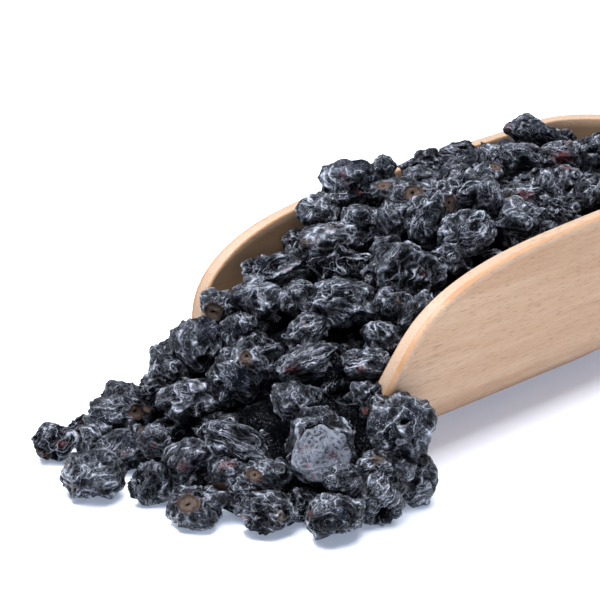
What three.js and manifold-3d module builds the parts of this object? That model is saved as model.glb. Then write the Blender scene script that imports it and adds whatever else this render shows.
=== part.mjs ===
// A carved beech scoop lies on the flat of its bowl, heaped with dried blackcurrants that
// spill out of its mouth onto the table. Millimetres, +Z up. +X runs along the scoop from its
// mouth to its handle, +Y is its far side, and the origin is the middle of the planed foot.
import * as THREE from 'three';
import { mergeVertices } from 'three/addons/utils/BufferGeometryUtils.js';
import Module from 'manifold-3d';

const wasm = await Module();
wasm.setup();

// Driving dimensions of the scoop
const BOWL_LENGTH = 97;
const BOWL_HALF_WIDTH = 21.3;
const WALL = 2.8;
const FLOOR_THICKNESS = 3;
const BACK_THICKNESS = 3.5;
const FOOT_LENGTH = 51;
const MOUTH_HEIGHT = 27.7;
const MOUTH_SWEEP = 51.7;
const RIM_SLOPE = 0.056;
const LIP_STEP = 0.8;
const BACK_ROUNDING = 13.5;
const HEEL_LIFT = 0.8;
const HANDLE_LENGTH = 55;
const HANDLE_HEIGHT = 23.5;
const HANDLE_ROOT = -5;
const TOUCH_GAP = 0.3;

// The turned handle, as radius and distance behind the bowl: flared root, neck, swell and tip
const HANDLE_PROFILE = [[9.6, HANDLE_ROOT], [7.4, 2], [5.4, 14], [6.4, 36], [7, 48.5], [4.4, 54.2]];

// How finely the round shapes are cut into faces
const BOWL_SIDES = 32;
const HEEL_STEPS = 9;
const MOUTH_STEPS = 14;
const HANDLE_SIDES = 18;
const HANDLE_STEPS = 15;

// The heap of currants: heights of the currants' centres, and where its slopes begin
const LIP_X = -FOOT_LENGTH / 2;
const TOE_X = LIP_X - 23.5;
const NEAR_TOE_RETREAT = 0.6;
const NEAR_TOE_Y = -7;
const TABLE_LAYER = 2.6;
const HEAP_SLOPE = 0.6;
const CROWN = 33.6;
const CROWN_TILT = 0.05;
const CROWN_ARCH = 0.012;
const NEAR_DIP = 0.06;
const NEAR_DIP_Y = -8;
const BACK_DIP = 0.007;
const BACK_DIP_START = 70;
const FAN_HALF_WIDTH = 24.5;
const FLANK_FOOT = 3;
const NEAR_FLANK_SLOPE = 2.2;
const FAR_FLANK_SLOPE = 1.1;
const MOUTH_RISE = 3;

// The currants: their usual width, how closely they pack and how deep the fillers lie
const CURRANT_WIDTH = 7;
const CROWDING = 0.87;
const THROWS = 6000;
const COVER_SHARE = 0.6;
const SUNK_OUT_OF_VIEW = 0.4;
const SUNK_IN_VIEW = 1.6;
const SUNK_AT_OPEN = 4;
const SMALL_CURRANT = 2.7;
const SIDE_LIMIT = 18;

// The packed middle of the heap, under the currants
const CORE_DEPTH = 1.8;
const HUMP_DEPTH = 0.3;
const HUMP_FALL = 0.17;
const CORE_BOTTOM = 0.5;
const FAN_HALF_ANGLE = 1.42;
const FAN_SPOKE_FALL = 60;
const FAN_INSET = 1.2;
const MOUTH_CORE_HALF_WIDTH = 17;

// The picture's frame: a line of sight through a pixel lands a currant on the heap
const FOCAL_PIXELS = 1500;
const PICTURE_MIDDLE = 300;
const LIP_PIXEL_U = 278.3;
const LIP_PIXEL_V = 453.4;
const EYE_DISTANCE = 211;
const EYE_ELEVATION = THREE.MathUtils.degToRad(18.65);
const EYE_YAW = THREE.MathUtils.degToRad(43.8);

const clamp = THREE.MathUtils.clamp;

// Repeatable draws between 0 and 1
function drawsFrom(seed) {
  let state = seed;
  return () => {
    state = (state * 16807) % 2147483647;
    return state / 2147483647;
  };
}

// Turn a closed three.js geometry into a solid that can be joined and cut
function solidOf(geometry) {
  const bare = geometry.clone();
  bare.deleteAttribute('normal');
  bare.deleteAttribute('uv');
  const merged = mergeVertices(bare, 1e-4);
  const vertProperties = new Float32Array(merged.attributes.position.array);
  const triVerts = new Uint32Array(merged.index.array);
  return new wasm.Manifold(new wasm.Mesh({ numProp: 3, vertProperties, triVerts }));
}

// The largest body of a solid: scraps are dropped and sealed hollows are filled
function mainBody(solid) {
  const bodies = solid.decompose();
  return bodies.reduce((best, body) => (body.volume() > best.volume() ? body : best));
}

function meshOf(name, solid, material) {
  const { vertProperties, triVerts } = solid.getMesh();
  const geometry = new THREE.BufferGeometry();
  geometry.setAttribute('position', new THREE.BufferAttribute(vertProperties, 3));
  geometry.setIndex(new THREE.BufferAttribute(triVerts, 1));
  geometry.computeVertexNormals();
  const mesh = new THREE.Mesh(geometry, material);
  mesh.name = name;
  return mesh;
}

// Rim height above the table at a distance s behind the lip: a superellipse, then a straight rise
function rimHeight(s) {
  const rest = 1 - clamp(s / MOUTH_SWEEP, 0, 1);
  return MOUTH_HEIGHT * (1 - rest ** 4) ** 0.25 + RIM_SLOPE * s;
}

// Outer or inner side of the bowl as a solid trough, open ends closed flat. The lower half of its
// section is half an ellipse whose bottom lifts along the heel, and the plan is rounded at the back.
function troughSolid({ start, end, halfWidth, depth, rounding, sides = BOWL_SIDES }) {
  const straight = FOOT_LENGTH - start;
  const heel = end - FOOT_LENGTH;
  const top = 60;
  const geometry = new THREE.CylinderGeometry(1, 1, 1, sides, HEEL_STEPS + 1);
  const position = geometry.attributes.position;
  for (let i = 0; i < position.count; i += 1) {
    const row = Math.round((0.5 + position.getY(i)) * (HEEL_STEPS + 1));
    const along = row === 0 ? 0 : Math.sin(((row - 1) / HEEL_STEPS) * (Math.PI / 2));
    const s = row === 0 ? start : start + straight + heel * along;
    const across = position.getX(i);
    const upward = position.getZ(i);
    const lift = HEEL_LIFT * halfWidth * (1 - Math.sqrt(1 - along * along));
    const q = clamp((s - (end - rounding)) / rounding, 0, 0.995);
    const narrowing = (1 - q ** 2.3) ** (1 / 2.3);
    const isWall = upward > 1e-6;
    const squared = isWall ? Math.max(Math.abs(across), upward) : 1;
    const y = (halfWidth * across * narrowing) / squared;
    const z = BOWL_HALF_WIDTH + ((isWall ? top - BOWL_HALF_WIDTH : depth - lift) * upward) / squared;
    position.setXYZ(i, LIP_X + s, -y, Math.max(z, 0));
  }
  return solidOf(geometry);
}

// Everything above the rim, seen from the side: what the mouth's sweep cuts away
function aboveRim(lift) {
  const outline = new THREE.Shape();
  outline.moveTo(LIP_X - 10, LIP_STEP + lift);
  outline.lineTo(LIP_X - lift, LIP_STEP + lift);
  for (let i = 1; i <= MOUTH_STEPS; i += 1) {
    const s = MOUTH_SWEEP * (i / MOUTH_STEPS) ** 3;
    const z = Math.max(rimHeight(s), LIP_STEP + 0.01) + lift;
    outline.lineTo(LIP_X + s - lift, z);
  }
  outline.lineTo(LIP_X + BOWL_LENGTH + 10, rimHeight(BOWL_LENGTH + 10) + lift);
  outline.lineTo(LIP_X + BOWL_LENGTH + 10, 80);
  outline.lineTo(LIP_X - 10, 80);
  const geometry = new THREE.ExtrudeGeometry(outline, { depth: 60, bevelEnabled: false, steps: 1 });
  geometry.rotateX(Math.PI / 2);
  geometry.translate(0, 30, 0);
  return solidOf(geometry);
}

// The hollow of the bowl, drawn in by a gap
function hollowSolid(gap, sides = BOWL_SIDES) {
  return troughSolid({
    sides,
    start: -12,
    end: BOWL_LENGTH - BACK_THICKNESS - gap,
    halfWidth: BOWL_HALF_WIDTH - WALL - gap,
    depth: BOWL_HALF_WIDTH - FLOOR_THICKNESS - gap,
    rounding: BACK_ROUNDING - 2,
  });
}

// The turned handle: a flared root sunk in the bowl's back, a neck, a swell and a round tip
function handleSolid() {
  const points = HANDLE_PROFILE.map(([radius, away]) => new THREE.Vector2(radius, away));
  const profile = new THREE.SplineCurve(points);
  const root = new THREE.Vector2(0, HANDLE_ROOT);
  const tip = new THREE.Vector2(0, HANDLE_LENGTH);
  const outline = [root, ...profile.getPoints(HANDLE_STEPS), tip];
  const geometry = new THREE.LatheGeometry(outline, HANDLE_SIDES);
  geometry.rotateZ(-Math.PI / 2);
  geometry.translate(LIP_X + BOWL_LENGTH, 0, HANDLE_HEIGHT);
  return solidOf(geometry);
}

// The bowl's wall, swollen by a gap when it is used to keep the currants clear of the wood
function bowlSolid(gap) {
  const outer = troughSolid({
    start: -gap,
    end: BOWL_LENGTH + gap,
    halfWidth: BOWL_HALF_WIDTH + gap,
    depth: (BOWL_HALF_WIDTH + gap) / Math.cos(Math.PI / (BOWL_SIDES / 2)),
    rounding: BACK_ROUNDING,
  });
  return outer.add(handleSolid()).subtract(hollowSolid(gap)).subtract(aboveRim(gap));
}

// Height of the outermost currants' centres: the slope up from the toe, the crown in the bowl,
// which lies lower along the near wall, and the two flanks of the fan beside the mouth
function heapHeight(x, y) {
  const toe = TOE_X + NEAR_TOE_RETREAT * Math.max(0, NEAR_TOE_Y - y);
  const slope = TABLE_LAYER + HEAP_SLOPE * (x - toe);
  const nearDip = NEAR_DIP * Math.max(0, NEAR_DIP_Y - y) ** 2;
  const backDip = BACK_DIP * Math.max(0, x - LIP_X - BACK_DIP_START) ** 2;
  const crown = CROWN + CROWN_TILT * y - CROWN_ARCH * y * y - nearDip - backDip;
  const steepness = y < 0 ? NEAR_FLANK_SLOPE : FAR_FLANK_SLOPE;
  const pastLip = Math.max(0, x - LIP_X) * (Math.abs(y) < BOWL_HALF_WIDTH ? MOUTH_RISE : -1);
  const flank = FLANK_FOOT + steepness * (FAN_HALF_WIDTH - Math.abs(y)) + pastLip;
  return Math.min(slope, crown, flank);
}

// The point at height z on the line of sight through pixel u, v
function sightPoint(u, v, z) {
  const sine = Math.sin(EYE_ELEVATION);
  const cosine = Math.cos(EYE_ELEVATION);
  const rise = (PICTURE_MIDDLE - v) / FOCAL_PIXELS;
  const lipRise = ((LIP_PIXEL_V - PICTURE_MIDDLE) / FOCAL_PIXELS) * EYE_DISTANCE;
  const lipRight = ((LIP_PIXEL_U - PICTURE_MIDDLE) / FOCAL_PIXELS) * EYE_DISTANCE;
  const away = (rise * (EYE_DISTANCE - z * sine) + lipRise - z * cosine) / (sine - rise * cosine);
  const depth = EYE_DISTANCE + away * cosine - z * sine;
  const right = ((u - PICTURE_MIDDLE) / FOCAL_PIXELS) * depth - lipRight;
  const x = LIP_X + right * Math.cos(EYE_YAW) + away * Math.sin(EYE_YAW);
  const y = away * Math.cos(EYE_YAW) - right * Math.sin(EYE_YAW);
  return new THREE.Vector3(x, y, z);
}

// A currant seen at pixel u, v lands where its line of sight first meets the heap or the table
function landedPoint({ u, v, tall, lift = 0 }) {
  const resting = tall / 2 - 0.1;
  const step = 0.05;
  let height = 45;
  let point = sightPoint(u, v, height);
  while (height > resting && height > heapHeight(point.x, point.y) + lift) {
    height -= step;
    point = sightPoint(u, v, height);
  }
  return point;
}

// Currants that the picture shows, each by the pixel of its middle, with its width and height in
// millimetres, its lean in degrees and how far it stands proud of the heap or lies below it
const SEEN_CURRANTS = [
  // Front rows on the table
  { u: 57, v: 443, wide: 6.7, tall: 5.0 },
  { u: 92, v: 475, wide: 8.3, tall: 6.6 },
  { u: 117, v: 413, wide: 8.4, tall: 5.4, lift: -3 },
  { u: 130, v: 398, wide: 5.0, tall: 4.4, lift: -3 },
  { u: 118, v: 446, wide: 6.8, tall: 4.6, lift: -1.5 },
  { u: 155, v: 442, wide: 5.0, tall: 4.6 },
  { u: 150, v: 482, wide: 5.6, tall: 5.4 },
  { u: 197, v: 507, wide: 7.6, tall: 5.3 },
  { u: 193, v: 462, wide: 7.8, tall: 6.4 },
  { u: 190, v: 403, wide: 9.0, tall: 6.5 },
  { u: 158, v: 388, wide: 6.2, tall: 6.0, lift: -1.5 },
  { u: 238, v: 443, wide: 8.9, tall: 5.0, lean: -25 },
  { u: 227, v: 474, wide: 5.7, tall: 4.6 },
  { u: 266, v: 476, wide: 6.7, tall: 4.5 },
  { u: 243, v: 493, wide: 4.2, tall: 3.6, lift: -0.6 },
  { u: 267, v: 511, wide: 7.7, tall: 5.3 },
  { u: 335, v: 518, wide: 7.2, tall: 6.1 },
  { u: 320, v: 447, wide: 9.6, tall: 10.2, lift: -1.0 },
  { u: 297, v: 405, wide: 6.6, tall: 6.6 },
  { u: 343, v: 480, wide: 5.2, tall: 4.4 },
  { u: 368, v: 405, wide: 8.0, tall: 5.8 },
  { u: 402, v: 425, wide: 8.8, tall: 9.0, lift: 4.5 },
  { u: 375, v: 464, wide: 5.0, tall: 4.0 },
  { u: 378, v: 495, wide: 7.0, tall: 7.0 },
  { u: 413, v: 480, wide: 6.2, tall: 6.8 },
  { u: 394, v: 466, wide: 6.0, tall: 5.4, lift: -0.5 },
  // The mouth of the scoop
  { u: 220, v: 307, wide: 5.4, tall: 5.4 },
  { u: 198, v: 345, wide: 7.8, tall: 8.0 },
  { u: 170, v: 370, wide: 4.8, tall: 4.6, lift: -0.5 },
  { u: 258, v: 358, wide: 6.9, tall: 6.6, lift: 1.2 },
  { u: 235, v: 378, wide: 7.5, tall: 7.0 },
  { u: 240, v: 330, wide: 5.4, tall: 5.2 },
  { u: 262, v: 300, wide: 8.5, tall: 6.2 },
  { u: 308, v: 362, wide: 8.6, tall: 4.8, lean: 20 },
  { u: 345, v: 302, wide: 9.2, tall: 6.6 },
  { u: 308, v: 330, wide: 6.0, tall: 5.0, lean: 20 },
  { u: 383, v: 337, wide: 5.8, tall: 4.4 },
  { u: 365, v: 363, wide: 7.4, tall: 4.8 },
  { u: 415, v: 315, wide: 7.5, tall: 4.0, lean: 58 },
  { u: 393, v: 305, wide: 5.2, tall: 5.2 },
  // The crown of the heap in the bowl
  { u: 275, v: 272, wide: 9.0, tall: 5.6, lean: 12 },
  { u: 340, v: 263, wide: 8.8, tall: 5.4 },
  { u: 407, v: 268, wide: 10.2, tall: 8.2 },
  { u: 330, v: 242, wide: 8.9, tall: 6.2, lean: 12 },
  { u: 318, v: 215, wide: 6.6, tall: 6.6 },
  { u: 350, v: 183, wide: 9.3, tall: 7.2 },
  { u: 383, v: 170, wide: 4.0, tall: 4.8, lift: 1 },
  { u: 365, v: 222, wide: 7.5, tall: 5.4 },
  { u: 395, v: 218, wide: 5.6, tall: 6.2 },
  { u: 408, v: 195, wide: 6.4, tall: 5.2 },
  { u: 418, v: 170, wide: 6.1, tall: 4.6, lift: -0.6 },
  { u: 425, v: 218, wide: 5.6, tall: 6.7 },
  { u: 438, v: 203, wide: 5.3, tall: 6.8 },
  { u: 463, v: 192, wide: 6.9, tall: 7.2 },
  { u: 460, v: 155, wide: 7.0, tall: 4.5 },
  { u: 428, v: 158, wide: 4.2, tall: 3.4, lift: 1 },
  { u: 467, v: 235, wide: 8.0, tall: 7.4 },
  { u: 450, v: 258, wide: 6.0, tall: 5.0, lift: -0.8 },
  { u: 515, v: 222, wide: 8.4, tall: 7.1 },
  { u: 520, v: 197, wide: 6.8, tall: 4.2 },
  { u: 520, v: 160, wide: 6.9, tall: 5.6 },
  { u: 493, v: 158, wide: 5.2, tall: 5.0 },
  { u: 532, v: 134, wide: 9.6, tall: 6.0, lean: -14, lift: 1.2 },
  { u: 558, v: 158, wide: 6.4, tall: 4.2 },
  { u: 590, v: 152, wide: 5.8, tall: 5.2 },
  { u: 566, v: 178, wide: 5.4, tall: 4.2 },
  { u: 547, v: 188, wide: 5.1, tall: 6.3 },
  { u: 557, v: 210, wide: 6.1, tall: 4.6 },
  { u: 582, v: 196, wide: 4.8, tall: 4.5 },
  { u: 488, v: 200, wide: 4.6, tall: 6.4 },
  { u: 600, v: 190, wide: 5.0, tall: 5.0 },
];

// Places between them that stay open to view, each by its pixel and its radius in pixels
const OPEN_PLACES = [
  // The table round the toe and an end scar
  [64, 405, 9], [122, 485, 4], [140, 412, 8],
  // The far wall's inner side and its rim
  [275, 237, 9], [398, 170, 3], [492, 141, 3], [585, 130, 6],
  // Deep gaps between the currants
  [245, 417, 8], [272, 388, 5], [333, 388, 8], [348, 331, 6],
  [519, 180, 8], [592, 178, 8], [500, 246, 6], [450, 282, 6],
];

// Where the picture's eye stands, to tell the slopes that it sees from those that it doesn't
const TOWARDS_EYE = new THREE.Vector3(
  -Math.sin(EYE_YAW) * Math.cos(EYE_ELEVATION),
  -Math.cos(EYE_YAW) * Math.cos(EYE_ELEVATION),
  Math.sin(EYE_ELEVATION),
);

// The pixel in which a point shows, with its depth from the eye
function pixelOf(point) {
  const s = point.x - LIP_X;
  const away = s * Math.sin(EYE_YAW) + point.y * Math.cos(EYE_YAW);
  const right = s * Math.cos(EYE_YAW) - point.y * Math.sin(EYE_YAW);
  const depth = EYE_DISTANCE + away * Math.cos(EYE_ELEVATION) - point.z * Math.sin(EYE_ELEVATION);
  const up = away * Math.sin(EYE_ELEVATION) + point.z * Math.cos(EYE_ELEVATION);
  const lipRight = ((LIP_PIXEL_U - PICTURE_MIDDLE) / FOCAL_PIXELS) * EYE_DISTANCE;
  const lipRise = ((LIP_PIXEL_V - PICTURE_MIDDLE) / FOCAL_PIXELS) * EYE_DISTANCE;
  const u = PICTURE_MIDDLE + (FOCAL_PIXELS * (right + lipRight)) / depth;
  const v = PICTURE_MIDDLE - (FOCAL_PIXELS * (up - lipRise)) / depth;
  return { u, v, depth };
}

// Whether the heap hides a point from the eye
function isHidden(point) {
  const probe = point.clone();
  for (let step = 0; step < 40; step += 1) {
    probe.addScaledVector(TOWARDS_EYE, 1.5);
    if (probe.z < heapHeight(probe.x, probe.y)) return true;
  }
  return false;
}

// Whether a currant at this point would stand in front of one that the picture shows whole
function coversSeen(point, seen) {
  const pixel = pixelOf(point);
  return seen.some((other) => {
    const apart = Math.hypot(pixel.u - other.u, pixel.v - other.v) * (pixel.depth / FOCAL_PIXELS);
    return pixel.depth < other.depth && apart < COVER_SHARE * other.radius;
  });
}

// Whether a currant of this radius would stand in front of an open place
function coversOpen(point, radius) {
  const pixel = pixelOf(point);
  const reach = (radius * FOCAL_PIXELS) / pixel.depth;
  return OPEN_PLACES.some(([u, v, around]) => Math.hypot(pixel.u - u, pixel.v - v) < reach + around);
}

// Room for a currant of this radius: within the walls, or on the open table round the mouth
function hasRoom(x, y, radius) {
  const s = x - LIP_X;
  const wallSide = BOWL_HALF_WIDTH - WALL - TOUCH_GAP;
  const inBowl = Math.abs(y) < wallSide - radius && s < BOWL_LENGTH - BACK_THICKNESS - radius - 1;
  const besideLip = s < 3 && Math.abs(y) > BOWL_HALF_WIDTH + TOUCH_GAP + 0.7 * radius;
  return inBowl || besideLip || s < -0.6 * radius;
}

// The rest of the heap's skin: seeded throws over the plan. Where the picture looks, they lie
// lower, in the gaps between the currants that it shows
function unseenCurrants(seen) {
  const draw = drawsFrom(20231);
  const placed = [...seen];
  for (let i = 0; i < THROWS; i += 1) {
    const x = TOE_X + draw() * (BOWL_LENGTH + LIP_X - TOE_X);
    const y = FAN_HALF_WIDTH * (2 * draw() - 1);
    const wide = CURRANT_WIDTH * (0.72 + 0.42 * draw());
    const tall = wide * (0.7 + 0.2 * draw());
    const lean = 50 * (draw() - 0.5);
    const turn = 360 * draw();
    const radius = (wide + tall) / 4;
    const surface = heapHeight(x, y);
    const skin = new THREE.Vector3(x, y, surface);
    const outOfView = pixelOf(skin).u > 2 * PICTURE_MIDDLE + 12 || isHidden(skin);
    const sunk = outOfView ? SUNK_OUT_OF_VIEW : SUNK_IN_VIEW;
    const at = new THREE.Vector3(x, y, Math.max(tall / 2 - 0.1, surface - sunk));
    if (!outOfView && coversSeen(at, seen)) at.z -= SUNK_IN_VIEW;
    if (coversOpen(at, radius)) at.z -= SUNK_AT_OPEN;
    const clear = placed.every((other) => at.distanceTo(other.at) > CROWDING * (radius + other.radius));
    if (clear && surface > TABLE_LAYER - 0.6 && at.z > 0.4 * tall && hasRoom(x, y, radius)) {
      placed.push({ at, wide, tall, radius, lean, turn });
    }
  }
  return placed.slice(seen.length);
}

// One shrivelled currant: a coarse ball, crumpled corner by corner, never below the table.
// The large currants that the picture shows have more corners than the rest
function currantSolid({ at, wide, tall, lean, turn, radius, seed, u }, swell = 0) {
  const draw = drawsFrom(seed);
  const size = 1 + swell / radius;
  const geometry = u === undefined || radius < SMALL_CURRANT
    ? new THREE.DodecahedronGeometry(1.06 * size, 0)
    : new THREE.IcosahedronGeometry(size, 1);
  geometry.deleteAttribute('normal');
  geometry.deleteAttribute('uv');
  const ball = mergeVertices(geometry, 1e-4);
  const position = ball.attributes.position;
  for (let i = 0; i < position.count; i += 1) {
    const reach = 0.8 + 0.28 * draw();
    position.setXYZ(
      i,
      0.5 * wide * reach * position.getX(i),
      0.25 * (wide + tall) * reach * position.getY(i),
      0.5 * tall * reach * position.getZ(i),
    );
  }
  ball.rotateY(THREE.MathUtils.degToRad(-lean));
  ball.rotateZ(THREE.MathUtils.degToRad(turn) - EYE_YAW);
  ball.translate(at.x, at.y, at.z);
  for (let i = 0; i < position.count; i += 1) {
    position.setZ(i, Math.max(position.getZ(i), 0));
  }
  return solidOf(ball);
}

// Top of the packed middle under a point: a rounded hump below each currant, which beyond the
// currant's own foot stays well below the heap's surface
function coreHeight(currants, x, y) {
  const humps = currants.map(({ at, tall, radius }) => {
    const distance = Math.hypot(x - at.x, y - at.y);
    const top = at.z - HUMP_DEPTH * tall - (HUMP_FALL * distance * distance) / radius;
    return distance < 0.8 * radius ? top : Math.min(top, heapHeight(x, y) - CORE_DEPTH);
  });
  return Math.max(...humps);
}

// The packed middle of a heap: a block whose top follows the currants from below and whose plan
// is given by a function of its place along, from 0 to 1, across, from -1 to 1, and on top or not
function coreSolid(currants, { columns, rows, swell = 0, plan }) {
  const geometry = new THREE.BoxGeometry(1, 2, 1, columns, rows, 1);
  const position = geometry.attributes.position;
  for (let i = 0; i < position.count; i += 1) {
    const onTop = position.getZ(i) > 0;
    const { x, y } = plan(position.getX(i) + 0.5, position.getY(i), onTop);
    const height = Math.max(2 * CORE_BOTTOM, coreHeight(currants, x, y) + swell);
    position.setXYZ(i, x, y, onTop ? height : CORE_BOTTOM);
  }
  return solidOf(geometry);
}

// In the bowl the block fills the hollow, and its front leans back from the mouth
function coreInBowl(currants, gap) {
  const core = coreSolid(currants, {
    columns: 26,
    rows: 10,
    swell: gap,
    plan: (along, across, onTop) => ({
      x: LIP_X + TOUCH_GAP - gap + along * (BOWL_LENGTH - 4) + (onTop ? 1.5 * (1 - along) : 0),
      y: across * BOWL_HALF_WIDTH,
    }),
  });
  return core.intersect(hollowSolid(TOUCH_GAP - gap / 2, BOWL_SIDES / 2));
}

// On the table the block fans out from the mouth as far as the middles of the outermost currants
function coreOnTable(currants) {
  const spokes = currants.map(({ at }) => ({
    angle: Math.atan2(at.y, LIP_X - at.x),
    reach: Math.hypot(at.y, LIP_X - at.x) - FAN_INSET,
  }));
  return coreSolid(currants, {
    columns: 7,
    rows: 16,
    plan: (along, across) => {
      const angle = across * FAN_HALF_ANGLE;
      const reaches = spokes.map((spoke) => spoke.reach - FAN_SPOKE_FALL * (angle - spoke.angle) ** 2);
      const reach = Math.max(...reaches);
      const outward = 1 - along;
      return {
        x: LIP_X - TOUCH_GAP - outward * reach * Math.cos(angle),
        y: (1 - outward) * across * MOUTH_CORE_HALF_WIDTH + outward * reach * Math.sin(angle),
      };
    },
  });
}

// The currants in two heaps: those that lie in the bowl and those spilled on the table
function heapSolids() {
  const seen = SEEN_CURRANTS.map((currant) => {
    const at = landedPoint(currant);
    const radius = (currant.wide + currant.tall) / 4;
    return { lean: 0, turn: 0, ...currant, at, radius, depth: pixelOf(at).depth };
  });
  const skin = [...seen, ...unseenCurrants(seen)];
  const currants = skin.map((currant, i) => ({ ...currant, seed: 101 + 37 * i }));
  const isWithin = ({ at, radius }) => at.x > LIP_X + 0.3 * radius && Math.abs(at.y) < SIDE_LIMIT;
  const inBowl = currants.filter(isWithin);
  const onTable = currants.filter((currant) => !inBowl.includes(currant));
  const nearMouth = inBowl.filter(({ at }) => at.x < LIP_X + 9);
  const joined = (start, group) => group.reduce((whole, currant) => whole.add(currantSolid(currant)), start);
  const bowlHeap = joined(coreInBowl(inBowl, 0), inBowl).subtract(bowlSolid(TOUCH_GAP));
  const pressedAside = nearMouth.reduce(
    (whole, currant) => whole.add(currantSolid(currant, TOUCH_GAP + 0.1)),
    coreInBowl(inBowl, TOUCH_GAP),
  );
  const tableHeap = joined(coreOnTable(onTable), onTable)
    .subtract(pressedAside)
    .subtract(bowlSolid(TOUCH_GAP));
  return { currants_in_scoop: mainBody(bowlHeap), currants_spilled: mainBody(tableHeap) };
}

const scoop = new THREE.Group();
const beech = new THREE.MeshStandardMaterial({ color: 0xdcb98c, roughness: 0.55, metalness: 0 });
const heaps = heapSolids();
scoop.add(meshOf('scoop', bowlSolid(0), beech));
for (const [name, solid] of Object.entries(heaps)) {
  const skin = new THREE.MeshStandardMaterial({ color: 0x23252e, roughness: 0.5, metalness: 0 });
  scoop.add(meshOf(name, solid, skin));
}
export default scoop;
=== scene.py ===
"""A beech scoop heaped with dried blackcurrants that spill out of its mouth.

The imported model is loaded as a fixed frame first. Everything below works in millimetres in that
frame, +X from the scoop's mouth to its handle, +Y to its far side and +Z up, and the one function
that makes meshes turns them to metres. The scoop is carved anew with a rounded rim, and every
currant of the two heaps is shrivelled on its own, where the solid heaps have it.
"""
import logging
import math
from collections.abc import Iterator
from dataclasses import dataclass, field
from enum import Enum
from functools import partial

import bpy
import numpy as np
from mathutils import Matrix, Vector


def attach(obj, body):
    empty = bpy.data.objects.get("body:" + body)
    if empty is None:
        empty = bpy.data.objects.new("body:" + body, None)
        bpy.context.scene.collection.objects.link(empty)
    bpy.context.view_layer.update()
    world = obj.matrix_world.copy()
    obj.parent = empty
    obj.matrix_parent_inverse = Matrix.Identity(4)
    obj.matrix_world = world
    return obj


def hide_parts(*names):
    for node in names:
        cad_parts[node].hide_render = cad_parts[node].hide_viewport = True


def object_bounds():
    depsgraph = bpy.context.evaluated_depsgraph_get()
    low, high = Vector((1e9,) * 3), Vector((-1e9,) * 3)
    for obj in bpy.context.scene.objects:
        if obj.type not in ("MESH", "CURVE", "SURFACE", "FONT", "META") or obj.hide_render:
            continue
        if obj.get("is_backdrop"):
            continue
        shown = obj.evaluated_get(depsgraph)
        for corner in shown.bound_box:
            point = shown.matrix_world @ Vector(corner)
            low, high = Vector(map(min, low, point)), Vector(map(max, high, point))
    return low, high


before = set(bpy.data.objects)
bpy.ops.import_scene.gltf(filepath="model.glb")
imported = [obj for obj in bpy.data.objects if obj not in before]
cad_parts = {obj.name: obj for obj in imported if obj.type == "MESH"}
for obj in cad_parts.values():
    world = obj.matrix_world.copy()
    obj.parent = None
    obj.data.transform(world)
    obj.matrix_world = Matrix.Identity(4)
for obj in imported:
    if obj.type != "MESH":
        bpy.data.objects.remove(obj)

CAD_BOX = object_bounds()
LOG = logging.getLogger("scoop_of_currants")
MM = 0.001

# The lip of the scoop lies half a foot's length in front of the frame's origin
FOOT_LENGTH = 51.0
LIP_X = -FOOT_LENGTH / 2
TOUCH_GAP = 0.3

# What feeds a shader node's input: a socket, a number, numbers or an sRGB hex colour
Feed = bpy.types.NodeSocket | float | tuple[float, ...] | str


def linear(hex_colour: str) -> tuple[float, float, float, float]:
    """Turn an sRGB hex colour into the linear colour that a shader socket takes.

    Args:
        hex_colour: Six hex digits after a hash sign.

    Returns:
        Red, green, blue and an alpha of one.
    """
    channels = [int(hex_colour[i:i + 2], 16) / 255 for i in (1, 3, 5)]
    turned = [c / 12.92 if c <= 0.04045 else ((c + 0.055) / 1.055) ** 2.4 for c in channels]
    return (*turned, 1.0)


def smooth_step(low: float, high: float, value: np.ndarray) -> np.ndarray:
    """Rise from zero at low to one at high, as 3 x^2 - 2 x^3 of the share x of the way."""
    share = np.clip((value - low) / (high - low), 0.0, 1.0)
    return share * share * (3 - 2 * share)


def bell(x: np.ndarray, middle: float, width: float) -> np.ndarray:
    """Rise to one at a middle and fall off on both sides, as exp(-((x - middle) / width)^2)."""
    return np.exp(-((x - middle) / width) ** 2)


def blended(share: np.ndarray, first: np.ndarray, second: np.ndarray | float) -> np.ndarray:
    """Blend from a first value to a second by a share."""
    return first * (1 - share) + share * second


def raise_to(channel: np.ndarray, value: np.ndarray) -> None:
    """Raise a channel to a value wherever it is lower."""
    np.maximum(channel, value, out=channel)


# Slopes of the noise at its lattice points: evenly spread unit vectors in a fixed shuffle
_SPREAD = np.random.default_rng(7).normal(size=(256, 3))
NOISE_SLOPES = _SPREAD / np.linalg.norm(_SPREAD, axis=1, keepdims=True)


def gradient_noise(points: np.ndarray, seed: int) -> np.ndarray:
    """Smooth noise about zero with one bump or hollow for each unit of length.

    Each lattice point has a slope drawn by a hash of its place. The noise is the slopes' planes
    through the eight corners of a cell, blended with a fifth-order curve.

    Args:
        points: Places, the last axis holding x, y and z.
        seed: Chooses the pattern.

    Returns:
        One value for each place, mostly between -0.7 and 0.7.
    """
    cell = np.floor(points).astype(np.int64)
    part = points - cell
    fade = part ** 3 * (part * (part * 6 - 15) + 10)
    total = np.zeros(points.shape[:-1])
    for corner in np.ndindex(2, 2, 2):
        at = cell + corner
        mixed = at[..., 0] * 73856093 ^ at[..., 1] * 19349663 ^ at[..., 2] * 83492791 ^ seed * 26544357
        mixed = ((mixed ^ (mixed >> 13)) * 1274126177) & 0xFFFFFFFF
        slope = NOISE_SLOPES[(mixed >> 8) & 255]
        weight = np.prod(np.where(corner, fade, 1 - fade), axis=-1)
        total += weight * np.sum(slope * (part - corner), axis=-1)
    return total * 1.5


def noise_vectors(points: np.ndarray, seed: int) -> np.ndarray:
    """Three noises at once, as a vector for each place."""
    return np.stack([gradient_noise(points, seed + k) for k in range(3)], axis=-1)


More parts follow.
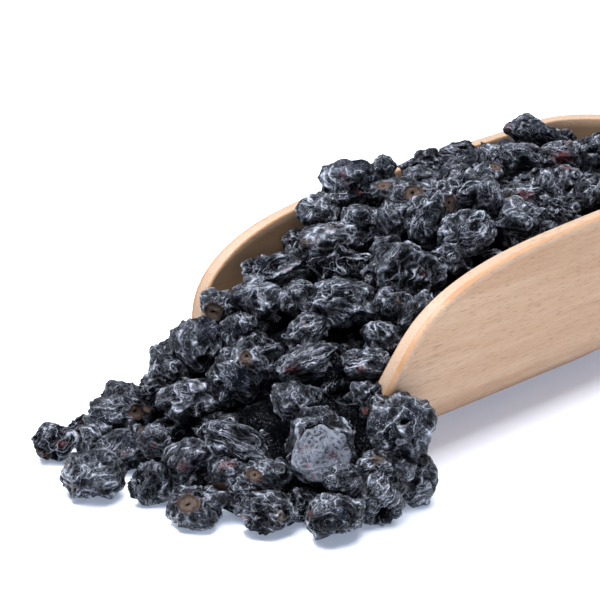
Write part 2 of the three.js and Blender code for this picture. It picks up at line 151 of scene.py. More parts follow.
def crested(noise: np.ndarray, sharpness: float) -> np.ndarray:
    """Turn a noise into meandering crests of height one where it passes through zero."""
    return np.clip(1.06 - np.sqrt(noise * noise + 0.0009) / 0.35, 0, 1) ** sharpness


def turned(points: np.ndarray, degrees: float, first: int, second: int) -> np.ndarray:
    """Turn points from one axis towards another.

    Args:
        points: Places, the last axis holding x, y and z.
        degrees: The angle.
        first: The number of the axis that is turned.
        second: The number of the axis that it is turned towards.

    Returns:
        The turned points.
    """
    sine, cosine = np.sin(np.radians(degrees)), np.cos(np.radians(degrees))
    moved = points.copy()
    moved[..., first] = points[..., first] * cosine - points[..., second] * sine
    moved[..., second] = points[..., first] * sine + points[..., second] * cosine
    return moved


def quads(number: np.ndarray) -> np.ndarray:
    """Join neighbours in a grid of vertex numbers, its last two axes, to one row of four for each face."""
    corners = (number[..., :-1, :-1], number[..., 1:, :-1], number[..., 1:, 1:], number[..., :-1, 1:])
    return np.stack(corners, axis=-1).reshape(-1, 4)


def welded(points: np.ndarray, faces: np.ndarray) -> tuple[np.ndarray, np.ndarray, np.ndarray]:
    """Merge points that lie within a hundredth of a millimetre, and drop faces that collapse.

    Args:
        points: One row of x, y and z for each point, in mm.
        faces: One row of four point numbers for each face.

    Returns:
        The merged points, the faces that are left, and which old point each new one was.
    """
    _, first, where = np.unique(np.round(points, 2), axis=0, return_index=True, return_inverse=True)
    faces = where.ravel()[faces]
    different = 1 + (np.diff(np.sort(faces, axis=1), axis=1) > 0).sum(axis=1)
    return points[first], faces[different >= 3], first


def add_piece(
    name: str,
    points: np.ndarray,
    faces: np.ndarray,
    material: bpy.types.Material,
    **colours: np.ndarray,
) -> bpy.types.Object:
    """Make a smooth-shaded mesh object at the origin from points in millimetres.

    Args:
        name: The piece's name.
        points: One row of x, y and z for each vertex.
        faces: One row of four vertex numbers for each face, its last two alike on a triangle.
        material: The piece's finish.
        **colours: Colour attributes, one row of four numbers for each vertex.

    Returns:
        The new object, linked to the scene.
    """
    mesh = bpy.data.meshes.new(name)
    corners = [tuple(dict.fromkeys(face)) for face in faces.tolist()]
    mesh.from_pydata((points * MM).tolist(), [], corners)
    mesh.polygons.foreach_set("use_smooth", np.ones(len(mesh.polygons), dtype=bool))
    for key, values in colours.items():
        attribute = mesh.color_attributes.new(key, "FLOAT_COLOR", "POINT")
        attribute.data.foreach_set("color", values.astype(np.float32).ravel())
    mesh.materials.append(material)
    mesh.update()
    piece = bpy.data.objects.new(name, mesh)
    bpy.context.scene.collection.objects.link(piece)
    return piece


def feed(node: bpy.types.Node, feeds: dict[str | int, Feed] | tuple[Feed, ...]) -> None:
    """Link or set a shader node's inputs.

    Args:
        node: The node.
        feeds: What feeds its inputs, by their names or numbers or in their order.
    """
    for key, value in feeds.items() if isinstance(feeds, dict) else enumerate(feeds):
        if isinstance(value, bpy.types.NodeSocket):
            node.id_data.links.new(value, node.inputs[key])
        else:
            node.inputs[key].default_value = linear(value) if isinstance(value, str) else value


def add_node(
    tree: bpy.types.NodeTree,
    kind: str,
    feeds: dict[str | int, Feed] | tuple[Feed, ...] = (),
    output: str | int = 0,
    **settings: str,
) -> bpy.types.NodeSocket:
    """Add a shader node with its settings and links.

    Args:
        tree: The material's node tree.
        kind: The node's type name after its prefix, and after a full stop its operation if it has one.
        feeds: What feeds its inputs, by their names or numbers or in their order.
        output: The name or number of the output that is returned.
        **settings: The node's own properties.

    Returns:
        One of its outputs.
    """
    kind, _, operation = kind.partition(".")
    node = tree.nodes.new("ShaderNode" + kind)
    for key, value in ({"operation": operation} | settings if operation else settings).items():
        setattr(node, key, value)
    feed(node, feeds)
    return node.outputs[output]


def new_material(name: str) -> tuple[bpy.types.Material, bpy.types.Node, partial]:
    """Start a material.

    Args:
        name: The real material and how its surface was made.

    Returns:
        The material, its Principled shader, and add_node for its tree.
    """
    material = bpy.data.materials.new(name)
    material.use_nodes = True
    return material, material.node_tree.nodes["Principled BSDF"], partial(add_node, material.node_tree)


@dataclass(frozen=True)
class BeechFinish:
    """Steamed beech, turned and sanded: pale pinkish tan with short dark ray flecks along it.

    Each pattern holds its bumps for each millimetre along and across the grain, its detail and its
    distortion: flecks as long and as wide as rays, growth rings cut lengthwise to long soft bands
    that waver a little, and fine fibres, about as coarse as a pixel so that they show.
    """

    pale: str = "#ab8e72"
    warm: str = "#926c49"
    fleck: str = "#694b35"
    burnished: str = "#9c6a3e"
    planed: str = "#a4917f"
    shaded: str = "#65523f"
    roughness: float = 0.5
    fleck_pattern: tuple[float, ...] = (1 / 1.8, 1 / 0.15, 1.0, 0.0)
    band_pattern: tuple[float, ...] = (0.012, 1 / 4.0, 3.0, 0.6)
    fibre_pattern: tuple[float, ...] = (0.15, 4.0, 2.0, 0.0)

    def build(self) -> bpy.types.Material:
        """Make the material: bands, flecks, a burnished line along the rim's edges and painted shade inside."""
        material, shader, node = new_material("beech_turned_sanded")
        place = node("TexCoord", output="Object")
        patterns = []
        for pattern in (self.fleck_pattern, self.band_pattern, self.fibre_pattern):
            along, across, detail, distortion = pattern
            scale = (along / MM, across / MM, across / MM)
            drawn_out = node("Mapping", {"Vector": place, "Scale": scale})
            patterns.append(node("TexNoise", {
                "Vector": drawn_out, "Scale": 1.0, "Detail": detail, "Distortion": distortion}))
        flecks, bands, fibres = patterns
        fleck = node("MapRange", (flecks, 0.57, 0.72))
        band = node("MapRange", (bands, 0.35, 0.68))
        fibre = node("MapRange", (fibres, 0.3, 0.75))
        edge, flat, inner = node("SeparateColor", (node("VertexColor", layer_name="rim"),)).node.outputs
        worn = node("MapRange", (bands, 0.3, 0.6, 0.15, 0.9))
        # The hollow's side is painted darker in the shaded colour, as the shade that falls inside the bowl
        colour: Feed = self.pale
        for place_share, strength, tint in (
                (band, 0.7, self.warm), (flat, 0.85, self.planed), (fibre, 0.38, self.warm),
                (fleck, 0.55, self.fleck), (inner, 0.8, self.shaded), (edge, worn, self.burnished)):
            share = node("Math.MULTIPLY", (place_share, strength))
            colour = node("Mix", {0: share, 6: colour, 7: tint}, 2, data_type="RGBA")
        relief = node("Math.SUBTRACT", (node("Math.MULTIPLY", (fibre, 0.4)), fleck))
        feed(shader, {
            "Base Color": colour,
            "Roughness": node("MapRange", (fibre, 0.0, 1.0, self.roughness - 0.05, self.roughness + 0.1)),
            "Specular IOR Level": 0.4,
            "Normal": node("Bump", {"Strength": 0.35, "Distance": 0.05 * MM, "Height": relief})})
        return material


@dataclass(frozen=True)
class CurrantSkin:
    """Dried currant skin: near black with a blue-grey bloom and painted sheen, painted highlights on crests,
    red where it thins.

    Each noise holds the size of its bumps in mm, its detail, its roughness and its distortion. The
    specks and the painted glints are drawn about as coarse as a pixel so that they show.
    """

    # Painted shade: the hollow colour darkens the skin between the crests
    hollow: str = "#020203"
    body: str = "#08090b"
    bloom: str = "#151924"
    # Painted highlight: the pale colour of the crests, the glint specks and the plate's ribs
    line: str = "#b2b7c4"
    flush: str = "#562322"
    tan: str = "#54412e"
    scar: str = "#564a43"
    scar_rim: str = "#5e463a"
    # The pit colour darkens a scar's middle, and paints the shade in a ring just inside its rim
    pit: str = "#0c0808"
    sheen_tint: str = "#d9e5ff"
    roughness: float = 0.42
    matt_roughness: float = 0.55
    gloss: float = 0.3
    wax: float = 0.6
    wax_roughness: float = 0.12
    wrinkle_noise: tuple[float, ...] = (0.95, 3.0, 0.6, 0.8)
    grain_noise: tuple[float, ...] = (0.42, 2.0, 0.6, 0.0)
    patch_noise: tuple[float, ...] = (2.4, 4.0, 0.6, 0.0)
    painted_glint_noise: tuple[float, ...] = (0.24, 1.0, 0.6, 0.0)
    speck_noise: tuple[float, ...] = (0.3, 2.0, 0.7, 0.0)

    def build(self) -> bpy.types.Material:
        """Make the material from the two colour attributes that each currant carries."""
        material, shader, node = new_material("dried_currant_skin")
        place = node("TexCoord", output="Object")
        wrinkles, grain, patch, painted_glints, specks = (
            node("TexNoise", {"Vector": place, "Scale": 1 / (size * MM), "Detail": detail,
                              "Roughness": roughness, "Distortion": distortion})
            for size, detail, roughness, distortion in (
                self.wrinkle_noise, self.grain_noise, self.patch_noise, self.painted_glint_noise, self.speck_noise))
        skin, marks = (node("VertexColor", layer_name=name).node.outputs for name in ("skin", "marks"))
        (crest, bloom, flush), (scar_ramp, plate, tan) = (
            node("SeparateColor", (layer["Color"],)).node.outputs for layer in (skin, marks))
        # A crest stands where a noise passes through its middle, and a rim where a scar's ramp does
        off_wrinkle, off_fold, off_pleat, off_rim = (
            node("Math.ABSOLUTE", (node("Math.SUBTRACT", (value, middle)),))
            for value, middle in (
                (wrinkles, 0.5), (skin["Alpha"], 0.5), (marks["Alpha"], 0.5), (scar_ramp, 0.495)))
        wrinkle = node("MapRange", (off_wrinkle, 0.0, 0.16, 1.0, 0.0))
        # The bloom colour is partly real bloom and partly painted sheen on smooth facets and silvery currants
        bloom_and_painted_sheen = node("Math.MULTIPLY", (bloom, node("MapRange", (patch, 0.3, 0.65, 0.2, 0.8))))
        # Pale highlights are painted along the crests, and painted glints stand on the skin as specks
        pale: Feed = 0.0
        for off_crest, width, strength in (
                (off_wrinkle, 0.02, 0.25), (off_fold, 0.05, 0.9), (off_pleat, 0.035, 0.5)):
            pale = node("Math.MAXIMUM", (pale, node("MapRange", (off_crest, 0.0, width, strength, 0.0))))
        # Painted sheen: the plate's face is painted pale along its ribs
        painted_plate_sheen = node("Math.MULTIPLY", (plate, node("MapRange", (wrinkle, 0.1, 0.95, 0.05, 0.36))))
        for operation, value in (
                ("MULTIPLY", node("MapRange", (grain, 0.36, 0.52, 0.3, 1.0))),
                ("MAXIMUM", node("MapRange", (painted_glints, 0.63, 0.74, 0.0, 0.8))),
                ("MULTIPLY", node("MapRange", (patch, 0.42, 0.60, 0.1, 1.0))),
                ("MULTIPLY", node("MapRange", (crest, 0.2, 0.6))),
                ("MAXIMUM", painted_plate_sheen)):
            pale = node("Math." + operation, (pale, value))
        # Red and brown patches break up into specks at their borders
        off_grain = node("Math.SUBTRACT", (grain, 0.5))
        spots = []
        for spot, ragged, low, high, strength in (
                (flush, 2.2, 0.55, 1.0, 0.6), (tan, 1.6, 0.35, 0.85, 0.8)):
            speckled = node("Math.ADD", (spot, node("Math.MULTIPLY", (off_grain, ragged))))
            speckled = node("Math.MULTIPLY", (speckled, node("MapRange", (spot, 0.0, 0.2))))
            spots.append(node("MapRange", (speckled, low, high, 0.0, strength)))
        red, brown = spots
        brown = node("Math.MULTIPLY", (brown, node("MapRange", (grain, 0.38, 0.6, 0.25, 1.0))))
        # A scar's ramp is one at its middle and a half at its rim
        disc = node("MapRange", (scar_ramp, 0.47, 0.51))
        # A scar goes dark at its middle, its pit, and in a painted ring of shade just inside its rim
        bare = node("MapRange", (grain, 0.35, 0.65, 0.6, 1.0))
        for ramp in ((0.83, 0.92, 1.0, 0.0), (0.51, 0.66, 0.25, 1.0)):
            bare = node("Math.MULTIPLY", (bare, node("MapRange", (scar_ramp, *ramp))))
        scarred = node("Mix", {0: bare, 6: self.pit, 7: self.scar}, 2, data_type="RGBA")
        rim = node("Math.MULTIPLY", (
            node("MapRange", (off_rim, 0.015, 0.05, 1.0, 0.0)),
            node("MapRange", (patch, 0.35, 0.6, 0.1, 0.6))))
        # The crest channel paints shade: hollows go to the darkest colour, crests to the body's
        colour: Feed = self.hollow
        for share, tint in (
                (node("MapRange", (crest, 0.2, 0.8)), self.body), (bloom_and_painted_sheen, self.bloom), (pale, self.line),
                (red, self.flush), (brown, self.tan), (disc, scarred), (rim, self.scar_rim)):
            colour = node("Mix", {0: share, 6: colour, 7: tint}, 2, data_type="RGBA")
        matt = node("Math.MAXIMUM", (node("Math.MULTIPLY", (disc, 0.9)), brown))
        relief = node("Math.ADD", (
            node("Math.MULTIPLY", (wrinkle, 0.45)), node("Math.MULTIPLY", (grain, 0.25))))
        calm = node("MapRange", (node("Math.MAXIMUM", (bloom, disc)), 0.0, 1.0, 1.0, 0.4))
        bump = node("Bump", {"Strength": calm, "Distance": 0.2 * MM, "Height": relief})
        # A film of wax glints in specks, where its own fine roughness catches the light
        glint = node("Math.MULTIPLY", (
            node("MapRange", (specks, 0.42, 0.66, 0.3, 1.0)),
            node("MapRange", (patch, 0.38, 0.60, 0.2, 1.3))))
        film = node("Bump", {"Strength": 1.0, "Distance": 0.5 * MM, "Height": specks, "Normal": bump})
        gloss, waxed = (
            node("Math.MULTIPLY", (node("MapRange", (crest, 0.5, 0.9, low, high)), glint))
            for low, high in ((0.02, 0.95), (0.0, self.wax)))
        # The export drops the link to the specular level, and its own value is then the mean gloss
        feed(shader, {"Specular IOR Level": self.gloss})
        feed(shader, {
            "Base Color": colour,
            "Roughness": node("MapRange", (matt, 0.0, 1.0, self.roughness, self.matt_roughness)),
            "Normal": bump,
            "Specular IOR Level": gloss,
            "Specular Tint": self.sheen_tint,
            "Coat Weight": waxed,
            "Coat Roughness": self.wax_roughness,
            "Coat Normal": film})
        return material


@dataclass
class View:
    """The picture's eye: a long lens above the surface, on the mouth's near side."""

    focal_pixels: float = 1500.0
    picture_pixels: float = 600.0
    lip_pixel: tuple[float, float] = (278.3, 453.4)
    eye_distance: float = 211.0
    elevation: float = math.radians(18.65)
    yaw: float = math.radians(43.8)
    sensor_mm: float = 36.0
    nearest_m: float = 0.01
    farthest_m: float = 20.0

    def __post_init__(self) -> None:
        """Work out the eye's axes, and how far the lip shows right of and above the middle, in mm."""
        self.middle = self.picture_pixels / 2
        self.lip_right, self.lip_rise = (
            (pixel - self.middle) / self.focal_pixels * self.eye_distance for pixel in self.lip_pixel)
        self.sine, self.cosine = math.sin(self.elevation), math.cos(self.elevation)
        self.right = np.array([math.cos(self.yaw), -math.sin(self.yaw), 0.0])
        self.level = np.array([math.sin(self.yaw), math.cos(self.yaw), 0.0])
        self.forward = self.level * self.cosine - np.array([0, 0, self.sine])

    def point_at(self, u: float, v: float, z: np.ndarray) -> np.ndarray:
        """Find the points at given heights on the line of sight through a pixel.

        Args:
            u: Pixels from the picture's left edge.
            v: Pixels from its top edge.
            z: Heights in mm.

        Returns:
            One row of x, y and z for each height.
        """
        rise = (self.middle - v) / self.focal_pixels
        climb = rise * (self.eye_distance - z * self.sine) + self.lip_rise - z * self.cosine
        away = climb / (self.sine - rise * self.cosine)
        depth = self.eye_distance + away * self.cosine - z * self.sine
        right = (u - self.middle) / self.focal_pixels * depth - self.lip_right
        x = LIP_X + right * self.right[0] + away * self.level[0]
        return np.stack([x, right * self.right[1] + away * self.level[1], z], axis=-1)

    def pixel_of(self, point: np.ndarray) -> np.ndarray:
        """Find where points show.

        Args:
            point: One row of x, y and z for each point, in mm.

        Returns:
            One row for each point: u, v and the depth from the eye in mm.
        """
        place = point - [LIP_X, 0, 0]
        away, right, z = place @ self.level, place @ self.right, place[..., 2]
        depth = self.eye_distance + away * self.cosine - z * self.sine
        up = away * self.sine + z * self.cosine
        u = self.middle + self.focal_pixels * (right + self.lip_right) / depth
        v = self.middle - self.focal_pixels * (up - self.lip_rise) / depth
        return np.stack([u, v, depth], axis=-1)

    def build(self) -> None:
        """Place the camera and make it the scene's."""
        up = np.cross(self.right, self.forward)
        lip = [LIP_X, 0, 0] - self.right * self.lip_right + up * self.lip_rise
        data = bpy.data.cameras.new("eye")
        data.sensor_width = self.sensor_mm
        data.lens = self.focal_pixels / self.picture_pixels * self.sensor_mm
        data.clip_start, data.clip_end = self.nearest_m, self.farthest_m
        camera = bpy.data.objects.new("eye", data)
        camera.location = (lip - self.forward * self.eye_distance) * MM
        camera.rotation_euler = (math.pi / 2 - self.elevation, 0.0, -self.yaw)
        bpy.context.scene.collection.objects.link(camera)
        bpy.context.scene.camera = camera


@dataclass(frozen=True)
class Lamp:
    """A square soft light: its place, what it looks at and its side in mm, its watts and its colour."""

    name: str
    place: tuple[float, float, float]
    target: tuple[float, float, float]
    size: float
    power: float
    colour: str

    def build(self) -> None:
        """Hang the light and turn it to its target."""
        data = bpy.data.lights.new(self.name, "AREA")
        data.size = self.size * MM
        data.energy = self.power
        data.color = linear(self.colour)[:3]
        light = bpy.data.objects.new(self.name, data)
        bpy.context.scene.collection.objects.link(light)
        away = np.array(self.place, float) - self.target
        light.location = np.array(self.place) * MM
        tilt = math.acos(away[2] / np.linalg.norm(away))
        light.rotation_euler = (tilt, 0.0, math.atan2(away[0], -away[1]))


@dataclass
class Studio:
    """A white card sweep under a large soft light, with an even white surround.

    The sweep glows bluish: faintly near the object, as painted light that lifts its shadows, and more away from
    it, so that it stays white to the picture's edge.
    """

    floor_half_width: float = 3000.0
    card: str = "#f6f9fd"
    card_glow: str = "#cfe0ff"
    glow_range: tuple[float, float] = (120.0, 420.0)
    glow: tuple[float, float] = (0.29, 1.1)
    surround: str = "#f3f7ff"
    surround_strength: float = 0.16
    lamps: tuple[Lamp, ...] = (
        Lamp("key", (-60, 0, 470), (-5, 0, 10), 460, 5.6, "#f8faff"),
        Lamp("spark", (-150, 90, 420), (-5, 0, 10), 60, 1.2, "#fdfdff"),
        Lamp("fill", (-330, -460, 150), (0, 0, 15), 150, 0.7, "#f4f7ff"),
        Lamp("back", (60, 330, 420), (10, 0, 20), 110, 0.6, "#f4f8ff"),
    )

    def build(self) -> None:
        """Make the floor, the lights and the surround."""
        material, shader, node = new_material("white_card_matt")
        far = node("VectorMath.LENGTH", (node("TexCoord", output="Object"),), "Value")
        near_mm, far_mm = self.glow_range
        # Painted light: the card's bluish glow lifts and blues the shadows near the object
        feed(shader, {
            "Base Color": self.card, "Roughness": 0.9, "Specular IOR Level": 0.1,
            "Emission Color": self.card_glow,
            "Emission Strength": node("MapRange", (far, near_mm * MM, far_mm * MM, *self.glow))})
        corners = self.floor_half_width * np.array([[-1, -1, 0], [1, -1, 0], [1, 1, 0], [-1, 1, 0]])
        add_piece("floor", corners, np.array([[0, 1, 2, 3]]), material)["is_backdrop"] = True
        for lamp in self.lamps:
            lamp.build()
        world = bpy.data.worlds.new("surround")
        world.use_nodes = True
        background = world.node_tree.nodes["Background"]
        feed(background, {"Color": self.surround, "Strength": self.surround_strength})
        bpy.context.scene.world = world
        bpy.context.scene.view_settings.view_transform = "Standard"
        bpy.context.scene.view_settings.look = "None"


@dataclass
class Scoop:
    """The scoop: a half-round bowl with a swept mouth and a turned handle, in one piece of beech.

    Distances s run from the lip back, and distances t round a section from its keel, along the half
    circle and up the wall. A side is the outer one or, where inner is true, the hollow's.
    """

    bowl_length: float = 97.0
    half_width: float = 21.3
    wall: float = 2.8
    floor_thickness: float = 3.0
    back_thickness: float = 3.5
    mouth_height: float = 27.7
    mouth_sweep: float = 51.7
    rim_slope: float = 0.056
    lip_step: float = 0.8
    back_rounding: float = 13.5
    inner_tightening: float = 2.0
    heel_lift: float = 0.8
    keel_depth: float = 21.7
    plan_power: float = 2.3
    edge_radii: tuple[float, float] = (0.9, 0.35)
    face_shares: tuple[float, ...] = (0.12, 0.5, 0.85)
    handle_length: float = 55.0
    handle_height: float = 23.5
    handle_profile: tuple[tuple[float, float], ...] = (
        (8.7, -2.0), (7.4, 2.0), (5.4, 14.0), (6.4, 36.0), (7.0, 48.5), (4.4, 54.2))
    handle_steps: int = 70
    tip_steps: int = 9
    turn_steps: int = 64
    front_columns: int = 30
    back_columns: int = 96
    crowd_from: float = 0.6
    crowd_share: float = 0.78
    crowd_power: float = 1.35
    round_steps: int = 5

    def side(self, inner: bool) -> tuple[float, float, float]:
        """Half the width of a side, its depth under the section's middle and its length."""
        if inner:
            return (
                self.half_width - self.wall, self.half_width - self.floor_thickness,
                self.bowl_length - self.back_thickness)
        return self.half_width, self.keel_depth, self.bowl_length

    def rim_height(self, s: np.ndarray) -> np.ndarray:
        """Height of the rim behind the lip: a superellipse up to the sweep's end, then a slope."""
        rest = 1 - np.clip(s / self.mouth_sweep, 0, 1)
        return np.maximum(self.mouth_height * (1 - rest ** 4) ** 0.25 + self.rim_slope * s, self.lip_step)

    def rim_station(self, z: np.ndarray) -> np.ndarray:
        """Distance behind the lip at which the rim reaches a height, found by halving."""
        low, high = np.zeros_like(z), np.full_like(z, self.bowl_length)
        for _ in range(40):
            middle = (low + high) / 2
            below = self.rim_height(middle) < z
            low, high = np.where(below, middle, low), np.where(below, high, middle)
        return high

    def depth(self, inner: bool, s: np.ndarray) -> np.ndarray:
        """Depth of a side under the section's middle, which a quarter circle lessens along the heel."""
        half, deepest, end = self.side(inner)
        along = np.clip((s - FOOT_LENGTH) / (end - FOOT_LENGTH), 0, 1)
        return deepest - self.heel_lift * half * (1 - np.sqrt(1 - along * along))

    def narrowing(self, inner: bool, s: np.ndarray, most: float = 1.0) -> np.ndarray:
        """Share of a side's width that is left up to most of its rounded back, a superellipse."""
        rounding = self.back_rounding - (self.inner_tightening if inner else 0.0)
        along = np.clip((s - (self.side(inner)[2] - rounding)) / rounding, 0, most)
        return (1 - along ** self.plan_power) ** (1 / self.plan_power)

    def section(self, inner: bool, s: np.ndarray, t: np.ndarray) -> np.ndarray:
        """Find points on a side: half an ellipse below the section's middle, and a straight wall above.

        Args:
            inner: True for the hollow's side.
            s: Distances behind the lip.
            t: Distances round the section.

        Returns:
            One row of x, y and z for each pair of distances, y from zero up.
        """
        quarter = self.half_width * math.pi / 2
        angle = np.minimum(t, quarter) / self.half_width
        y = self.side(inner)[0] * np.sin(angle) * self.narrowing(inner, s)
        z = self.half_width - self.depth(inner, s) * np.cos(angle) + np.maximum(t - quarter, 0)
        return np.stack([LIP_X + s, y, np.maximum(z, 0.0)], axis=-1)

    def width_at(self, inner: bool, s: np.ndarray, z: np.ndarray) -> np.ndarray:
        """Half a side's width behind the lip and at heights, on the same ellipse."""
        fall = np.clip((self.half_width - z) / self.depth(inner, s), 0, 1)
        return self.side(inner)[0] * np.sqrt(1 - fall * fall) * self.narrowing(inner, s)

    def inner_floor(self, s: np.ndarray, y: np.ndarray) -> np.ndarray:
        """Height of the hollow's bottom behind the lip and off its middle, on the same ellipse."""
        aside = np.clip(y / (self.side(True)[0] * self.narrowing(True, s, 0.995)), -1, 1)
        return self.half_width - self.depth(True, s) * np.sqrt(1 - aside * aside)

    def rim_curve(self, inner: bool) -> tuple[np.ndarray, np.ndarray]:
        """Follow one edge of the rim from the middle of the lip up the front and back to the handle.

        The front is divided evenly by the section's angle, and the top by a law that crowds its
        points at the rounded back.

        Args:
            inner: True for the hollow's edge.

        Returns:
            Distances behind the lip, and distances round the section.
        """
        _, deepest, end = self.side(inner)
        half_turn = np.linspace(0, math.pi / 2, self.front_columns + 1)
        height = np.maximum(self.half_width - deepest * np.cos(half_turn), 0)
        front_s = np.where(half_turn > 0, self.rim_station(height), 0.0)
        share = np.linspace(0, 1, self.back_columns + 1)[1:]
        turn = (share - self.crowd_from) / (1 - self.crowd_from) * math.pi / 2
        crowded = self.crowd_share + (1 - self.crowd_share) * np.sin(turn)
        eased = np.where(share < self.crowd_from, share / self.crowd_from * self.crowd_share, crowded)
        back_s = front_s[-1] + (end - front_s[-1]) * eased ** self.crowd_power
        z = self.rim_height(back_s)
        fall = np.clip((self.half_width - z) / self.depth(inner, back_s), 0, 1)
        back_t = self.half_width * np.arccos(fall) + np.maximum(z - self.half_width, 0)
        return np.concatenate([front_s, back_s]), np.concatenate([self.half_width * half_turn, back_t])

    def drawn_back(self, inner: bool) -> tuple[np.ndarray, np.ndarray]:
        """Move the rim's edge by its rounding into the side that it bounds, square to the edge."""
        s, t = self.rim_curve(inner)
        run, climb = np.gradient(s), np.gradient(t)
        length, radius = np.hypot(run, climb), self.edge_radii[inner]
        run, climb = run / length, climb / length
        run[[0, -1]], climb[[0, -1]] = (0, 1), (1, 0)
        s, t = s + climb * radius, t - run * radius
        s[-1], t[0] = self.side(inner)[2], 0.0
        return s, t

    def side_grid(self, inner: bool) -> np.ndarray:
        """Cover one half of a side with a grid from the keel to the edge.

        A patch between four edges, which are the keel, the front edge, the top edge and the back,
        is filled by blending opposite edges and taking off the blend of its corners.

        Args:
            inner: True for the hollow's side.

        Returns:
            Grid of points, rows from keel to rim and columns from front to back.
        """
        s, t = self.drawn_back(inner)
        n, end = self.front_columns, self.side(inner)[2]
        edge = np.stack([s, t], axis=-1)
        front, top = edge[:n + 1, None], edge[None, n:]
        share = (top[..., 0] - s[n]) / (end - s[n])
        keel = np.stack([s[0] + (end - s[0]) * share, np.zeros_like(share)], axis=-1)
        back = np.stack([np.full(n + 1, end), np.linspace(0, t[-1], n + 1)], axis=-1)[:, None]
        up, along = front[..., 1:] / t[n], np.linspace(0, 1, top.shape[1])[:, None]
        corners = [(1 - along) * line[:, :1] + along * line[:, -1:] for line in (keel, top)]
        place = (
            (1 - up) * keel + up * top + (1 - along) * front + along * back
            - (1 - up) * corners[0] - up * corners[1])
        return self.section(inner, np.clip(place[..., 0], 0, end), np.maximum(place[..., 1], 0))

    def rim_strip(self) -> np.ndarray:
        """Round the rim over from the outer side to the inner one.

        Each edge's corner B is replaced by a quarter round from A, below it on the side, to C, on
        the top: B + (A - B)(1 - sin a) + (C - B)(1 - cos a).

        Returns:
            Grid of points, rows across the rim and columns from the lip back to the handle.
        """
        corners = [self.section(inner, *self.rim_curve(inner)) for inner in (False, True)]
        across = corners[1] - corners[0]
        across /= np.linalg.norm(across, axis=-1, keepdims=True)
        angle = np.linspace(0, math.pi / 2, self.round_steps + 1)[:, None, None]
        rounds = []
        for inner, corner in enumerate(corners):
            s, t = self.drawn_back(bool(inner))
            below = self.section(bool(inner), np.clip(s, 0, s[-1]), t)
            beside = across * self.edge_radii[inner] * (-1 if inner else 1)
            rounds.append(corner + (below - corner) * (1 - np.sin(angle)) + beside * (1 - np.cos(angle)))
        outer, inner_round = rounds
        face = outer[-1] + (inner_round[-1] - outer[-1]) * np.array(self.face_shares)[:, None, None]
        return np.concatenate([outer, face, inner_round[::-1]])

    def bowl_mesh(self) -> tuple[np.ndarray, np.ndarray, np.ndarray]:
        """Join the outer side, the rim and the inner side, and mirror them to the near side.

        Returns:
            Points, faces and the colours of the rim attribute: its edges, flat and hollow, where shade is
            painted.
        """
        outer, strip, inner = self.side_grid(False), self.rim_strip(), self.side_grid(True)
        turn = self.round_steps + 1
        edge = np.zeros(strip.shape)
        edge[:turn, :, 0] = np.sin(np.linspace(0, math.pi / 2, turn))[:, None] ** 4
        edge[-turn:, :, 0] = 0.8 * np.sin(np.linspace(0, math.pi, turn))[:, None]
        edge[..., 1] = 1 - edge[..., 0]
        points, faces, colours, count = [], [], [], 0
        # The inner side's third channel marks where shade is painted
        for grid, inward, colour in (
                (outer, False, np.zeros_like(outer)), (strip, False, edge),
                (inner, True, np.zeros_like(inner) + [0, 0, 1])):
            size = grid[..., 0].size
            quad = quads(np.arange(size).reshape(grid.shape[:2]).T)
            for mirror in (1, -1):
                points.append((grid * [1, mirror, 1]).reshape(-1, 3))
                faces.append(count + (quad[:, ::-1] if inward == (mirror > 0) else quad))
                colours.append(colour.reshape(-1, 3))
                count += size
        return np.concatenate(points), np.concatenate(faces), np.concatenate(colours)

    def handle_mesh(self) -> tuple[np.ndarray, np.ndarray, np.ndarray]:
        """Turn the handle: a smooth profile through its points, revolved and closed at both ends.

        The profile is a cubic through neighbouring points, with slopes from their neighbours on
        either side, and its tip a quarter ellipse from the last point to the axis.

        Returns:
            Points, faces and the colours of the rim attribute, all zero.
        """
        profile = np.array(self.handle_profile).T
        chord = np.concatenate([[0], np.cumsum(np.hypot(*np.diff(profile)))])
        slope = np.gradient(profile, chord, axis=1)
        fine = np.linspace(0, chord[-1], self.handle_steps)
        k = np.clip(np.searchsorted(chord, fine) - 1, 0, len(chord) - 2)
        span = chord[k + 1] - chord[k]
        x = (fine - chord[k]) / span
        rise = 3 * x ** 2 - 2 * x ** 3
        bend = slope[:, k] * (x ** 3 - 2 * x ** 2 + x) + slope[:, k + 1] * (x ** 3 - x ** 2)
        r, d = profile[:, k] * (1 - rise) + profile[:, k + 1] * rise + span * bend
        tip = np.linspace(0, math.pi / 2, self.tip_steps + 1)[1:]
        r = np.concatenate([[0.0], r, r[-1] * np.cos(tip)])
        d = np.concatenate([[d[0]], d, d[-1] + (self.handle_length - d[-1]) * np.sin(tip)])
        turn = np.linspace(0, 2 * math.pi, self.turn_steps + 1)[:-1]
        x = np.broadcast_to((LIP_X + self.bowl_length + d)[:, None], (len(d), len(turn)))
        y, z = r[:, None] * np.sin(turn), self.handle_height + r[:, None] * np.cos(turn)
        number = np.pad(np.arange(x.size).reshape(x.shape), ((0, 0), (0, 1)), mode="wrap")
        return np.stack([x, y, z], axis=-1).reshape(-1, 3), quads(number), np.zeros((x.size, 3))

    def build(self, material: bpy.types.Material) -> list[bpy.types.Object]:
        """Make the bowl and the handle.

        Args:
            material: The wood's finish.

        Returns:
            The finished pieces.
        """
        pieces = []
        for name, mesh in (("scoop_bowl", self.bowl_mesh()), ("scoop_handle", self.handle_mesh())):
            points, faces, rim = mesh
            points, faces, kept = welded(points, faces)
            shades = np.concatenate([rim[kept], np.ones((len(kept), 1))], axis=1)
            piece = add_piece(name, points, faces, material, rim=shades)
            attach(piece, "root")
            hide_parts("scoop")
            pieces.append(piece)
        return pieces


class Wrinkle(Enum):
    """How a currant's skin has shrunk."""

    CRUMPLED = "crumpled"
    RIDGED = "ridged"
    RINGED = "ringed"
    PLEATED = "pleated"


